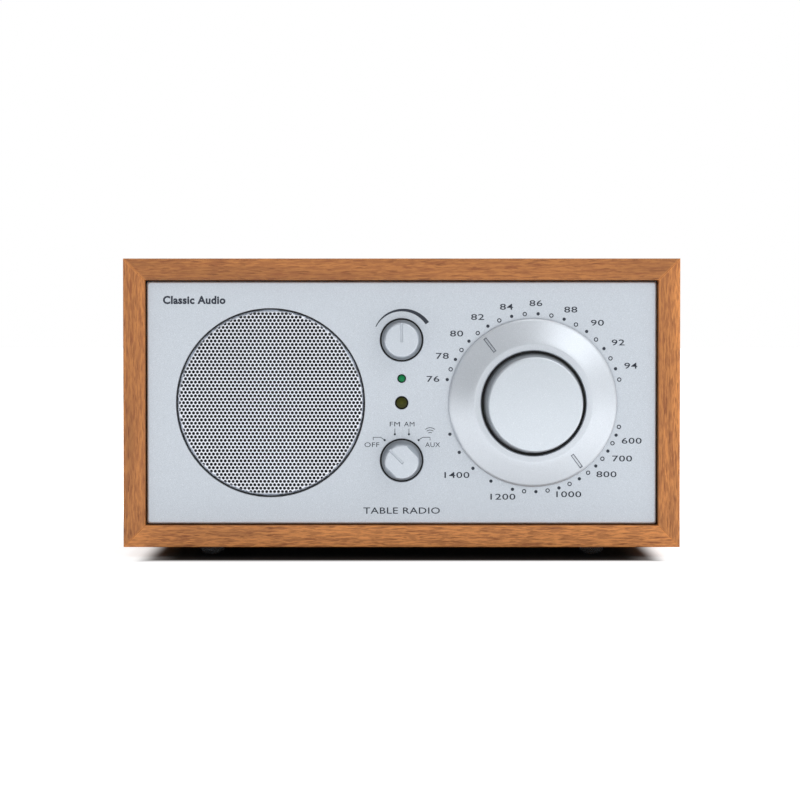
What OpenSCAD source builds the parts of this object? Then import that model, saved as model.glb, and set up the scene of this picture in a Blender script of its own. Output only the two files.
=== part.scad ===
// Wooden table radio, built as an assembly of separate parts.
// Millimetres, +X right, +Y to the back, +Z up.
// The origin is at the middle of the box, on the surface that it stands on.

/* [Cabinet] */
// Width of the cabinet
cabinet_w = 213; // [205:1:280]
// Height of the cabinet without its feet
cabinet_h = 110.5; // [106:0.5:150]
// Depth of the cabinet
cabinet_d = 112; // [106:1:160]
// Thickness of the cabinet's boards
board_t = 8.3; // [6:0.1:10]
// Height of the clear feet
foot_h = 3.8; // [3:0.1:8]
// Radius of a foot where it meets the cabinet
foot_r = 5; // [4:0.1:8]
// Sideways distance from the middle to each foot
foot_x = 73.5; // [50:0.5:90]
// Distance from the cabinet's edge to a foot's middle, front and back
foot_inset_y = 11; // [8:0.5:25]

/* [Front panel] */
// Depth of the faceplate behind the cabinet's front edge
panel_recess = 2.5; // [1:0.1:6]
// Gap between the faceplate and the cabinet
panel_gap = 0.5; // [0.3:0.05:1.5]
// Thickness of the faceplate
faceplate_t = 2; // [1.5:0.1:3]
// Corner radius of the faceplate
faceplate_corner_r = 1.2; // [0.5:0.1:4]
// Thickness of the moulded chassis behind the faceplate
chassis_t = 3; // [2.5:0.1:5]
// Depth of the rim round the chassis
rim_d = 10; // [6:0.5:20]

/* [Loudspeaker] */
// Sideways place of the loudspeaker
speaker_x = -50.3; // [-56:0.1:-48]
// Radius of the perforated grille
grille_r = 35.7; // [30:0.1:36.5]
// Gap round the grille
grille_gap = 0.6; // [0.3:0.05:1.5]
// Outer radius of the loudspeaker's flange
basket_r = 40; // [38:0.1:41]
// Radius of the cone's mouth
cone_r = 27.8; // [24:0.1:29]
// Radius of the voice coil's former
former_r = 9.5; // [8:0.1:11]
// Outer radius of the ferrite magnet
magnet_r = 28; // [25:0.5:30]
// Thickness of the ferrite magnet
magnet_t = 11; // [8:0.5:13]

/* [Tuning] */
// Sideways place of the tuning dial
dial_x = 50.3; // [46:0.1:56]
// Outer radius of the dial ring
dial_r = 32.3; // [30:0.1:36]
// Radius of the dial ring's bore, round the tuning knob
dial_bore_r = 20; // [19.5:0.1:21]
// Height of the dial ring's inner land above the faceplate
dial_h = 5.8; // [4:0.1:8]
// Gap between the tuning knob and the dial ring
knob_ring_gap = 0.8; // [0.4:0.05:1.5]
// Distance from the faceplate to the tuning knob's front
knob_reach = 18.5; // [14:0.5:22]
// Turn of the dial's pointer from straight up, clockwise
pointer_angle = -36.9; // [-90:0.1:90]
// Radius of the tuning shaft
tuning_shaft_r = 2.5; // [2:0.1:3]
// Module of the reduction gears
gear_m = 0.7; // [0.6:0.01:0.75]
// Teeth of the sun gear
sun_teeth = 12;
// Teeth of each planet gear
planet_teeth = 18;
// Width of the gears
gear_w = 5; // [4:0.1:6]

/* [Small controls] */
// Height of the volume knob above the middle
volume_dz = 24.1; // [20:0.1:27]
// Height of the selector knob above the middle
selector_dz = -22.1; // [-27:0.1:-20]
// Radius of the small knobs at the back
knob_r = 7.7; // [7.4:0.1:8.4]
// Distance from the faceplate to a small knob's front
knob_out = 10; // [8:0.1:14]
// Gap between a small knob and the faceplate
knob_gap = 0.65; // [0.3:0.05:1]
// Radius of the control shafts
shaft_r = 3; // [2.5:0.1:3.1]
// Turn of the selector's pointer from straight up, clockwise
selector_angle = -45; // [-45:1:45]
// Height of the power light above the middle
power_led_dz = 9.3; // [7:0.1:12]
// Radius of the power light
power_led_r = 1.5; // [1:0.1:2]
// Radius of the tuning light
tuning_led_r = 2.4; // [2:0.1:2.6]

/* [Rear] */
// Depth of the rear panel behind the cabinet's back edge
rear_recess = 2; // [1:0.1:5]
// Thickness of the rear panel
rear_t = 2.5; // [2:0.1:4]
// Distance that the aerial socket stands out of the cabinet
rear_out = 5; // [3:0.5:10]
// Radius of a jack's bore
jack_bore_r = 1.8; // [1.75:0.05:2]
// Spacing of the jacks
jack_pitch = 20; // [14:0.5:24]
// Outer radius of the aerial socket's barrel
aerial_r = 4.75; // [4:0.05:5]
// Inner radius of the bass port
port_r = 12.5; // [10:0.5:14]

/* [Hidden] */
$fn = 96;

// Clearances
running = 0.06;       // between a shaft and its bore
fit_gap = 0.2;        // between a part and the opening that it goes into
cut = 1;              // how far a cutting shape runs past a face
sink = 0.2;           // how far two shapes of one piece run into each other

// Overall places
front_out = knob_reach - panel_recess;
total_d = front_out + cabinet_d + rear_out;
front_y = -total_d / 2 + front_out;            // cabinet's front edge
back_y = front_y + cabinet_d;                  // cabinet's back edge
mid_z = foot_h + cabinet_h / 2;                // height of the panel's middle
floor_z = foot_h + board_t;                    // top of the bottom board
ceiling_z = foot_h + cabinet_h - board_t;      // underside of the top board
inner_w = cabinet_w - 2 * board_t;
inner_h = cabinet_h - 2 * board_t;
panel_y = front_y + panel_recess;              // faceplate's front face
chassis_y = panel_y + faceplate_t;             // chassis's front face
mount_y = chassis_y + chassis_t;               // chassis's back face
rear_y = back_y - rear_recess;                 // rear panel's outer face
rear_in_y = rear_y - rear_t;                   // rear panel's inner face

// Screws: one pan-head kind inside, and one for the rear panel
screw_r = 1.25;
screw_len = 7;
screw_head_r = 2.4;
screw_head_h = 1.7;
screw_bite = 2.5;                              // depth that a screw holds in
rear_screw_r = 1.4;
rear_screw_len = 12;
rear_screw_head_r = 2.9;
rear_screw_head_h = 1.9;

// Chassis rim and the blocks that hold it
rim_t = 1.8;
corner_boss = 7;
front_block_w = 7;
front_block_d = screw_len - screw_bite;
rear_block = 10;
rear_block_d = 12;
boss_x = inner_w / 2 - fit_gap - corner_boss / 2;
boss_z = inner_h / 2 - fit_gap - corner_boss / 2;
rear_screw_x = (inner_w - rear_block) / 2;
rear_screw_z = (inner_h - rear_block) / 2;

// Loudspeaker, measured back from the chassis
gasket_t = 1.5;
flange_y = mount_y + gasket_t;
flange_t = 1;
gasket_in_r = 35;
flange_in_r = 33.2;
speaker_screw_at = 37.6;
speaker_screws = [45:90:315];
surround_out_r = 34.6;
surround_in_y = flange_y + 4.2;                // plane of the surround's inner land
surround_t = 0.5;
cone_t = 0.6;
cone_back_y = flange_y + 17;
spider_y = flange_y + 20;
spider_out_r = 19;
spider_t = 0.5;
basket_back_y = flange_y + 23;
basket_back_r = 22;
plate_t = 4;
plate_r = 24;
plate_y = basket_back_y;
magnet_y = plate_y + plate_t;
yoke_y = magnet_y + magnet_t;
coil_t = 0.5;
former_t = 0.3;
pole_r = former_r - 0.45;

// Gears
pressure = 25;
addendum = 0.8 * gear_m;
dedendum = 1.05 * gear_m;
backlash = 0.1;
ring_teeth = sun_teeth + 2 * planet_teeth;
sun_r = gear_m * sun_teeth / 2;
planet_r = gear_m * planet_teeth / 2;
ring_r = gear_m * ring_teeth / 2;
orbit_r = sun_r + planet_r;
planet_angles = [0, 120, 240];

// Tuning drive, measured back from the chassis
housing_r = ring_r + dedendum + 4;
carrier_gap = 0.5;
carrier_t = 1.5;
carrier_r = ring_r - addendum - 0.75;
carrier_y = mount_y + carrier_gap;
gear_gap = 0.4;
gear_y = carrier_y + carrier_t + gear_gap;
rear_plate_y = gear_y + gear_w + gear_gap;
plate_gap = 0.7;                               // between the turning rear plate and the bracket
housing_d = rear_plate_y + carrier_t + plate_gap - mount_y;
boss_r = 5;
boss_end_y = mount_y + housing_d + 2;
hub_r = 5.5;
spigot_r = 4.5;
hub_flange_t = 1.1;
hub_flange_gap = 0.6;
hub_flange_r = 27;
pin_r = 1.2;
post_r = 1.9;
pilot_r = 1.5;
bracket_t = 1.5;
bracket_y = mount_y + housing_d;
capacitor_y = bracket_y + bracket_t + 4;
capacitor_w = 24;
capacitor_d = 16;
capacitor_wall = 1.2;
vane_r = 9.5;
vane_t = 0.6;
vane_pitch = 2.4;
vanes = 4;
ear_at = housing_r + 2.5;
ear_angles = [0:120:240];
ear_t = screw_len - screw_bite;
bracket_screw_at = (ring_r + dedendum + housing_r) / 2;

// Dial ring
pointer_w = 1.2;
pointer_in_r = 24;
pointer_out_r = 31.1;
pointer_depth = 0.4;
dial_back = 0.5;
ring_seat_r = hub_flange_r + 0.2;
rim_h = 1.3;
shoulder_r = 23.6;

// Small controls
knob_well_r = knob_r + knob_gap;
bushing_r = 3.5;
bushing_out = 3.2;                             // reach in front of the chassis
nut_t = 2;
nut_r = 5.5;
knob_back_y = chassis_y - 0.4;
knob_len = knob_back_y - (panel_y - knob_out);
knob_front_r = knob_r - 1.3;
knob_cavity_r = 6.3;
knob_cavity_d = 3.4;
knob_wall = 1.6;                               // plastic left in front of the shaft
selector_flat = 5.5;                           // distance of the grip flats from the axis, at the front
groove_w = 1;
groove_depth = 0.4;
control_d = 10;
volume_z = mid_z + volume_dz;
selector_z = mid_z + selector_dz;
power_led_z = mid_z + power_led_dz;
control_board_y = mount_y + control_d;
board_pcb_t = 1.6;
led_proud = 0.5;
led_flange = 0.4;
led_hole_gap = 0.15;

// Rear places
jack_z = floor_z + 20;
jack_x = [for (i = [-1:1]) i * jack_pitch + 2];
aerial_x = 70;
aerial_z = floor_z + 48;
switch_x = 44;
switch_travel = 4;
inlet_x = -72;
inlet_z = floor_z + 22;
rear_board_y = rear_in_y - 12;
inlet_w = 24;
inlet_h = 14;
inlet_cavity_w = 16.4;
inlet_cavity_h = 8;
inlet_cavity_d = 12;
inlet_pin_r = 1.2;
inlet_pin_x = 4.3;

// Electronics
board_x0 = 8;
board_x1 = 88;
board_y0 = mount_y + 25;
board_y1 = rear_board_y - 1;
board_z = floor_z + 6;
rod_r = 5;
rod_len = 100;
rod_x = 10;
rod_y = back_y - 31;
rod_z = ceiling_z - 7.8;
core_w = 48;
core_h = 40;
core_d = 18;
core_x = -62;
core_y = back_y - 36.5;
core_leg = 8;
port_x = -12;
port_y = back_y - 37;
port_wall = 2;
port_len = 44;

// ---------- shapes ----------

// A slab that starts at y_front and runs back by depth, from a shape drawn in X and Z.
module slab(y_front, depth) {
    translate([0, y_front + depth, 0]) rotate([90, 0, 0]) linear_extrude(depth) children();
}

// Places children so that their +Z runs to the back, from the point (x, y, z).
module facing_back(x, y, z) {
    translate([x, y, z]) rotate([-90, 0, 0]) children();
}

// Inside facing_back(), moves children out by distance, at the given clockwise turn from straight up.
module orbit(turn, distance) {
    rotate([0, 0, turn]) translate([0, -distance, 0]) children();
}

// A shaft along Y.
module rod(x, y, z, r, len) {
    facing_back(x, y, z) cylinder(r = r, h = len);
}

// A ring along Z.
module ring(r_out, r_in, h) {
    difference() {
        cylinder(r = r_out, h = h);
        translate([0, 0, -cut]) cylinder(r = r_in, h = h + 2 * cut);
    }
}

// A rectangle with round corners.
module round_rect(w, h, r) {
    square([w - 2 * r, h], center = true);
    square([w, h - 2 * r], center = true);
    for (x = [-1, 1], y = [-1, 1]) translate([x * (w / 2 - r), y * (h / 2 - r)]) circle(r = r);
}

// One cabinet board with mitred ends: the outer edge lies on Y = 0 and the board goes inwards, to -Y.
module mitred(length) {
    half = length / 2;
    polygon([[-half, 0], [half, 0], [half - board_t, -board_t], [-half + board_t, -board_t]]);
}

// A pan-head screw whose head's underside lies on Z = 0 and whose shank runs to -Z.
module screw(r, len, head_r, head_h) {
    translate([0, 0, -len]) cylinder(r = r, h = len + cut / 10);
    difference() {
        cylinder(r1 = head_r, r2 = head_r * 0.8, h = head_h);
        for (a = [0, 90]) rotate([0, 0, a])
            translate([-head_r * 0.55, -0.35, head_h - 0.9]) cube([head_r * 1.1, 0.7, cut]);
    }
}

// The point [x, z] at the given distance and clockwise turn from an axis at x on the middle line.
function at(x, distance, turn) = [x + distance * sin(turn), mid_z + distance * cos(turn)];

// The screw used inside, at the point [x, z], with its head's underside on the plane y.
module inner_screw(point, y) {
    facing_back(point[0], y, point[1]) screw(screw_r, screw_len, screw_head_r, screw_head_h);
}

// The hole that an inner screw's end holds in, opening on the plane y.
module screw_hole(point, y) {
    rod(point[0], y - screw_bite, point[1], screw_r, screw_bite + cut);
}

// Angle of an involute at radius r, in degrees.
function involute(base, r) = let (a = acos(min(1, base / r))) tan(a) * 180 / PI - a;

// Half of a tooth's angle at radius r.
function half_tooth(teeth, pitch_r, base, thin, r) =
    90 / teeth - thin / 2 / pitch_r * 180 / PI + involute(base, pitch_r) - involute(base, max(r, base));

// The outline of a gear, tooth 0 pointing along +X.
function gear_outline(teeth, add, ded, thin) =
    let (
        steps = 4,
        pitch_r = gear_m * teeth / 2,
        base = pitch_r * cos(pressure),
        tip = pitch_r + add,
        root = pitch_r - ded,
        start = max(root, base),
        radii = [for (i = [0:steps]) start + (tip - start) * i / steps],
        up = concat(
            root < base ? [[root, -half_tooth(teeth, pitch_r, base, thin, base)]] : [],
            [for (r = radii) [r, -half_tooth(teeth, pitch_r, base, thin, r)]]
        ),
        tooth = concat(up, [for (i = [len(up) - 1:-1:0]) [up[i][0], -up[i][1]]])
    )
    [for (t = [0:teeth - 1], p = tooth) let (a = p[1] + t * 360 / teeth) [p[0] * cos(a), p[0] * sin(a)]];

// A gear along Z with a bore.
module gear(teeth, bore_r, h) {
    linear_extrude(h) difference() {
        polygon(gear_outline(teeth, addendum, dedendum, backlash));
        if (bore_r > 0) circle(r = bore_r);
    }
}

function unit(v) = v / norm(v);

// Points of one ring of a swept tube.
function tube_ring(points, i, r, sides) =
    let (
        last = len(points) - 1,
        along = unit(points[min(i + 1, last)] - points[max(i - 1, 0)]),
        side = unit(cross(along, abs(along[0]) > 0.9 ? [0, 0, 1] : [1, 0, 0])),
        other = cross(side, along)
    )
    [for (k = [0:sides - 1]) points[i] + r * (cos(360 * k / sides) * side + sin(360 * k / sides) * other)];

// A tube swept along points.
module tube(points, r) {
    sides = 8;
    n = len(points);
    rings = [for (i = [0:n - 1]) each tube_ring(points, i, r, sides)];
    walls = [
        for (i = [0:n - 2], k = [0:sides - 1])
            let (a = i * sides + k, b = i * sides + (k + 1) % sides) [a, b, b + sides, a + sides]
    ];
    ends = [[for (k = [sides - 1:-1:0]) k], [for (k = [0:sides - 1]) (n - 1) * sides + k]];
    polyhedron(points = rings, faces = concat(walls, ends), convexity = 4);
}

// ---------- cabinet ----------

module cabinet_top() {
    color("peru") slab(front_y, cabinet_d) translate([0, foot_h + cabinet_h]) mitred(cabinet_w);
}

module cabinet_bottom() {
    color("peru") difference() {
        slab(front_y, cabinet_d) translate([0, foot_h]) mirror([0, 1]) mitred(cabinet_w);
        translate([port_x, port_y, foot_h - cut]) cylinder(r = port_r + port_wall, h = board_t + 2 * cut);
    }
}

// One side board; side is -1 for left and 1 for right.
module side_board(side) {
    color("peru") slab(front_y, cabinet_d)
        translate([side * cabinet_w / 2, mid_z]) rotate([0, 0, -90 * side]) mitred(cabinet_h);
}

module cabinet_left() { side_board(-1); }
module cabinet_right() { side_board(1); }

// Wooden blocks glued inside: a strip down each side for the chassis, and four corners for the rear panel.
module glue_blocks() {
    block_y = mount_y + rim_d;
    color("burlywood") {
        for (side = [-1, 1]) difference() {
            translate([side * (inner_w - front_block_w) / 2, block_y + front_block_d / 2, mid_z])
                cube([front_block_w, front_block_d, inner_h], center = true);
            for (up = [-1, 1])
                rod(side * boss_x, block_y - cut, mid_z + up * boss_z, screw_r, front_block_d + 2 * cut);
        }
        for (side = [-1, 1], up = [-1, 1]) difference() {
            translate([side * rear_screw_x, rear_in_y - rear_block_d / 2, mid_z + up * rear_screw_z])
                cube([rear_block, rear_block_d, rear_block], center = true);
            rod(side * rear_screw_x, rear_y - rear_screw_len, mid_z + up * rear_screw_z,
                rear_screw_r, rear_screw_len);
        }
    }
}

// Four clear domes with a small flat under each.
module feet() {
    over = 0.25;
    dome_h = foot_h + over;
    dome_r = (foot_r * foot_r + dome_h * dome_h) / (2 * dome_h);
    color("gainsboro")
        for (x = [-foot_x, foot_x], y = [front_y + foot_inset_y, back_y - foot_inset_y])
            intersection() {
                translate([x, y, dome_r - over]) sphere(r = dome_r);
                translate([x, y, 0]) cylinder(r = foot_r + cut, h = foot_h);
            }
}

module bass_port() {
    color("dimgray") translate([port_x, port_y, foot_h]) ring(port_r + port_wall, port_r, port_len);
}

// ---------- front ----------

module faceplate() {
    w = inner_w - 2 * panel_gap;
    h = inner_h - 2 * panel_gap;
    color("lightsteelblue") slab(panel_y, faceplate_t) difference() {
        translate([0, mid_z]) round_rect(w, h, faceplate_corner_r);
        translate([speaker_x, mid_z]) circle(r = grille_r + grille_gap);
        translate([dial_x, mid_z]) circle(r = hub_r + 1);
        for (z = [volume_z, selector_z]) translate([0, z]) circle(r = knob_well_r);
        translate([0, power_led_z]) circle(r = power_led_r + led_hole_gap);
        translate([0, mid_z]) circle(r = tuning_led_r + led_hole_gap);
    }
}

module front_chassis() {
    w = inner_w - 2 * fit_gap;
    h = inner_h - 2 * fit_gap;
    color("black") difference() {
        union() {
            slab(chassis_y, chassis_t) translate([0, mid_z]) square([w, h], center = true);
            slab(mount_y, rim_d) translate([0, mid_z]) difference() {
                square([w, h], center = true);
                square([w - 2 * rim_t, h - 2 * rim_t], center = true);
            }
            for (x = [-1, 1], z = [-1, 1]) slab(mount_y, rim_d)
                translate([x * boss_x, mid_z + z * boss_z]) square(corner_boss, center = true);
        }
        rod(speaker_x, chassis_y - cut, mid_z, gasket_in_r - 1, chassis_t + 2 * cut);
        rod(speaker_x, chassis_y - cut, mid_z, grille_r, cut + 1);
        rod(dial_x, chassis_y - cut, mid_z, hub_r + running, chassis_t + 2 * cut);
        for (z = [volume_z, selector_z]) rod(0, chassis_y - cut, z, bushing_r, chassis_t + 2 * cut);
        rod(0, chassis_y - cut, power_led_z, power_led_r, chassis_t + 2 * cut);
        rod(0, chassis_y - cut, mid_z, tuning_led_r, chassis_t + 2 * cut);
        for (a = speaker_screws) screw_hole(at(speaker_x, speaker_screw_at, a), mount_y);
        for (a = ear_angles) screw_hole(at(dial_x, ear_at, a), mount_y);
        for (x = [-1, 1], z = [-1, 1]) screw_hole([x * boss_x, mid_z + z * boss_z], mount_y + rim_d);
    }
}

// All the screws inside: through the blocks, the loudspeaker, the gear housing and the tuner bracket.
module chassis_screws() {
    speaker_head_y = mount_y - screw_bite + screw_len;
    color("silver") {
        for (x = [-1, 1], z = [-1, 1])
            inner_screw([x * boss_x, mid_z + z * boss_z], mount_y + rim_d + front_block_d);
        for (a = speaker_screws) inner_screw(at(speaker_x, speaker_screw_at, a), speaker_head_y);
        for (a = ear_angles) inner_screw(at(dial_x, ear_at, a), mount_y + ear_t);
        for (side = [-1, 1]) inner_screw([dial_x + side * bracket_screw_at, mid_z], bracket_y + bracket_t);
    }
}

module speaker_grille() {
    sheet_t = 1;
    skirt_y = chassis_y + 1;
    depth = skirt_y - panel_y - 0.3;
    color("whitesmoke") facing_back(speaker_x, panel_y + 0.3, mid_z) difference() {
        cylinder(r = grille_r, h = depth);
        translate([0, 0, sheet_t]) cylinder(r = grille_r - sheet_t, h = depth);
    }
}

// ---------- loudspeaker ----------

module speaker_gasket() {
    color("darkslategray") facing_back(speaker_x, mount_y, mid_z) difference() {
        ring(basket_r, gasket_in_r, gasket_t);
        for (a = speaker_screws)
            orbit(a, speaker_screw_at) translate([0, 0, -cut]) cylinder(r = screw_r, h = gasket_t + 2 * cut);
    }
}

// Pressed steel frame: flange, four spokes with windows between them, spider step and back plate.
module speaker_basket() {
    wall = 1;
    step_y = spider_y - flange_y + spider_t;
    back = basket_back_y - flange_y;
    head_t = screw_len - screw_bite - gasket_t;
    color("slategray") facing_back(speaker_x, flange_y, mid_z) difference() {
        union() {
            rotate_extrude() polygon([
                [flange_in_r, 0], [basket_r, 0], [basket_r, flange_t], [flange_in_r + wall, flange_t],
                [basket_back_r, step_y], [basket_back_r, back],
                [pole_r + 2.2, back], [pole_r + 2.2, back - wall],
                [basket_back_r - wall, back - wall], [basket_back_r - wall, step_y + wall],
                [spider_out_r - 2, step_y + wall], [spider_out_r - 2, step_y], [basket_back_r - wall, step_y]
            ]);
            for (a = speaker_screws) orbit(a, speaker_screw_at) cylinder(r = screw_head_r, h = head_t);
        }
        for (a = [0:90:270]) rotate([0, 0, a]) translate([0, -31, 8.4]) cube([22, 22, 10], center = true);
        for (a = speaker_screws)
            orbit(a, speaker_screw_at) translate([0, 0, -cut]) cylinder(r = screw_r, h = head_t + 2 * cut);
    }
    color("tan") translate([speaker_x + basket_back_r, flange_y + step_y - 2, mid_z])
        for (s = [-1, 1]) translate([0, 0, s * 4]) cube([5, 1.2, 3.2]);
}

// Half roll of foam between the flange and the cone.
module cone_surround() {
    roll_out = flange_in_r - 0.2;
    roll_in = cone_r + 1;
    roll_mid = (roll_out + roll_in) / 2;
    roll = (roll_out - roll_in) / 2;
    inner_h = surround_in_y - flange_y;
    thin = roll - surround_t;
    start = asin(surround_t / roll);
    turns = [for (i = [0:10]) start + (180 - start) * i / 10];
    color("dimgray") facing_back(speaker_x, flange_y, mid_z) rotate_extrude() polygon(concat(
        [[surround_out_r, 0], [surround_out_r, -surround_t]],
        [for (a = turns) [roll_mid + roll * cos(a), -roll * sin(a)]],
        [[roll_in, inner_h - surround_t], [cone_r - 1.6, inner_h - surround_t],
         [cone_r - 1.6, inner_h], [roll_in + surround_t, inner_h]],
        [for (i = [0:10]) [roll_mid + thin * cos(180 - 18 * i), -thin * sin(180 - 18 * i)]]
    ));
}

module speaker_cone() {
    depth = cone_back_y - surround_in_y;
    color("darkgray") facing_back(speaker_x, surround_in_y, mid_z) rotate_extrude() polygon([
        [cone_r + 0.6, 0], [cone_r + 0.6, cone_t], [cone_r - 1.2, cone_t],
        [former_r + cone_t, depth], [former_r, depth], [former_r, depth - cone_t], [cone_r - 1.6, 0]
    ]);
}

module dust_cap() {
    cap_r = former_r + 3;
    rise = 3;
    ball = (cap_r * cap_r + rise * rise) / (2 * rise);
    mouth_r = cone_r - 1.6;
    seat_share = (mouth_r - cap_r) / (mouth_r - former_r);
    seat_y = surround_in_y + seat_share * (cone_back_y - surround_in_y - cone_t) - 0.02;
    color("darkgray") facing_back(speaker_x, seat_y - rise, mid_z) intersection() {
        translate([0, 0, ball]) difference() {
            sphere(r = ball);
            sphere(r = ball - 0.4);
        }
        cylinder(r = cap_r + cut, h = rise);
    }
}

module voice_coil() {
    start = cone_back_y;
    color("sienna") facing_back(speaker_x, start, mid_z) {
        ring(former_r + former_t, former_r, magnet_y - start - 1);
        translate([0, 0, plate_y - start - 1])
            ring(former_r + former_t + coil_t, former_r + former_t, plate_t);
    }
}

// Stepped disc that centres the coil: a flat land outside, then four steps forward to the former.
module cone_spider() {
    in_r = former_r + former_t;
    steps = 4;
    land_r = spider_out_r - 2;
    tread = (land_r - in_r) / steps;
    rise = 0.6;
    front = [for (i = [0:steps - 1])
        each [[land_r - tread * i, -rise * i], [land_r - tread * i, -rise * (i + 1)]]];
    color("goldenrod") facing_back(speaker_x, spider_y, mid_z) rotate_extrude() polygon(concat(
        [[spider_out_r, spider_t], [spider_out_r, 0]], front,
        [[in_r, -rise * steps], [in_r, -rise * steps + spider_t]],
        [for (i = [2 * steps - 1:-1:0]) [front[i][0] - 0.3, front[i][1] + spider_t]]
    ));
}

module magnet_front_plate() {
    color("silver") facing_back(speaker_x, plate_y, mid_z) ring(plate_r, former_r + 1.4, plate_t);
}

module speaker_magnet() {
    color("dimgray") facing_back(speaker_x, magnet_y, mid_z) ring(magnet_r, former_r + 4, magnet_t);
}

module magnet_yoke() {
    color("silver") facing_back(speaker_x, yoke_y, mid_z) union() {
        cylinder(r = plate_r, h = plate_t);
        translate([0, 0, -(magnet_t + plate_t)]) cylinder(r = pole_r, h = magnet_t + plate_t + cut);
    }
}

// ---------- small controls ----------

// A small knob, its back on Z = 0 and its front at -Z. flats is true for the one with two grip flats.
module small_knob(flats) {
    edge = 0.4;
    skirt = 2;
    difference() {
        rotate_extrude() polygon([
            [0, 0], [knob_r, 0], [knob_r, -skirt],
            [knob_front_r + edge, -knob_len + edge], [knob_front_r, -knob_len], [0, -knob_len]
        ]);
        translate([0, 0, -knob_cavity_d]) cylinder(r = knob_cavity_r, h = knob_cavity_d + cut);
        translate([0, 0, -knob_len + knob_wall]) cylinder(r = shaft_r, h = knob_len);
        translate([-groove_w / 2, -knob_front_r + 0.6, -knob_len - cut])
            cube([groove_w, knob_front_r + 0.4, cut + groove_depth]);
        if (flats) for (s = [-1, 1])
            translate([s * selector_flat, 0, -knob_len]) rotate([0, -s * 12, 0])
                translate([s > 0 ? 0 : -4, -knob_r, -cut]) cube([4, 2 * knob_r, knob_len - skirt]);
    }
}

module volume_knob() {
    color("lightsteelblue") facing_back(0, knob_back_y, volume_z) small_knob(false);
}

module selector_knob() {
    color("lightsteelblue") facing_back(0, knob_back_y, selector_z)
        rotate([0, 0, selector_angle]) small_knob(true);
}

// A control's shaft, from inside its body to inside its knob.
module control_shaft(z) {
    front = knob_back_y - knob_len + knob_wall;
    color("silver") rod(0, front, z, shaft_r, mount_y + control_d - 3 - front);
}

module volume_shaft() { control_shaft(volume_z); }
module selector_shaft() { control_shaft(selector_z); }

// Cuts the shaft's bore out of a control's body.
module shaft_bore(z) {
    start = chassis_y - bushing_out - cut;
    rod(0, start, z, shaft_r + running, mount_y + control_d - 3 + running - start);
}

module volume_pot() {
    color("darkslategray") difference() {
        union() {
            rod(0, chassis_y - bushing_out, volume_z, bushing_r, bushing_out + chassis_t + 1);
            rod(0, mount_y, volume_z, 8.4, control_d);
            for (i = [-1:1]) translate([i * 4 - 0.6, mount_y + 4, volume_z - 12]) cube([1.2, 0.8, 5]);
        }
        shaft_bore(volume_z);
    }
}

module selector_switch() {
    color("darkslategray") difference() {
        union() {
            rod(0, chassis_y - bushing_out, selector_z, bushing_r, bushing_out + chassis_t + 1);
            slab(mount_y, control_d) translate([0, selector_z]) square(17, center = true);
        }
        shaft_bore(selector_z);
    }
}

module control_nuts() {
    color("silver") for (z = [volume_z, selector_z]) facing_back(0, chassis_y - nut_t, z) difference() {
        cylinder(r = nut_r, h = nut_t, $fn = 6);
        translate([0, 0, -cut]) cylinder(r = bushing_r, h = nut_t + 2 * cut);
    }
}

module control_board() {
    color("seagreen") slab(control_board_y, board_pcb_t)
        translate([3, mid_z]) square([25, 70], center = true);
}

// A light: clear body with a flange behind the chassis, and two legs to the board.
module led(z, r) {
    body = mount_y - panel_y + led_proud;
    facing_back(0, mount_y, z) {
        translate([0, 0, -body + r]) cylinder(r = r, h = body - r);
        intersection() {
            translate([0, 0, -body + r]) sphere(r = r);
            translate([0, 0, -body]) cylinder(r = r + cut, h = r);
        }
        cylinder(r = r + led_flange, h = 1);
        for (x = [-1, 1]) translate([x * r / 2, 0, 1]) cylinder(r = 0.3, h = control_d - 1);
    }
}

module power_led() { color("limegreen") led(power_led_z, power_led_r); }
module tuning_led() { color("olive") led(mid_z, tuning_led_r); }

// ---------- tuning drive ----------

module dial_ring() {
    slope = atan((dial_h - 0.35 - rim_h - 0.4) / (dial_r - 0.4 - shoulder_r));
    color("lightgray") facing_back(dial_x, panel_y, mid_z) difference() {
        rotate_extrude() polygon([
            [dial_bore_r, -hub_flange_gap - hub_flange_t], [dial_bore_r, -dial_h + 0.3],
            [dial_bore_r + 0.3, -dial_h],
            [shoulder_r - 1, -dial_h + 0.05], [shoulder_r, -dial_h + 0.35],
            [dial_r - 0.4, -rim_h - 0.4], [dial_r, -rim_h],
            [dial_r, -dial_back], [ring_seat_r, -dial_back], [ring_seat_r, -hub_flange_gap - hub_flange_t]
        ]);
        for (half = [0, 180]) rotate([0, 0, pointer_angle + half])
            translate([0, -shoulder_r, -dial_h + 0.35]) rotate([slope, 0, 0])
                translate([-pointer_w / 2, -(pointer_out_r - shoulder_r) / cos(slope), -cut])
                    cube([pointer_w, (pointer_out_r - pointer_in_r) / cos(slope), cut + pointer_depth]);
    }
}

// Black flange that carries the dial ring, with a tube through the chassis.
module dial_hub() {
    front = hub_flange_gap + hub_flange_t;
    len = carrier_y - panel_y + front;
    color("black") facing_back(dial_x, panel_y - front, mid_z) difference() {
        union() {
            cylinder(r = hub_flange_r, h = hub_flange_t);
            cylinder(r = hub_r, h = len);
            translate([0, 0, len - cut]) cylinder(r = spigot_r, h = cut + carrier_t);
        }
        translate([0, 0, -cut]) cylinder(r = tuning_shaft_r + running, h = len + carrier_t + 2 * cut);
    }
}

// Disc with three posts and three planet pins.
module planet_carrier() {
    color("ivory") facing_back(dial_x, carrier_y, mid_z) {
        ring(carrier_r, spigot_r, carrier_t);
        translate([0, 0, carrier_t - sink]) for (a = planet_angles) {
            orbit(a, orbit_r) cylinder(r = pin_r, h = sink + rear_plate_y - carrier_y);
            orbit(a + 60, orbit_r) cylinder(r = post_r, h = sink + rear_plate_y - carrier_y - carrier_t);
        }
    }
}

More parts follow.
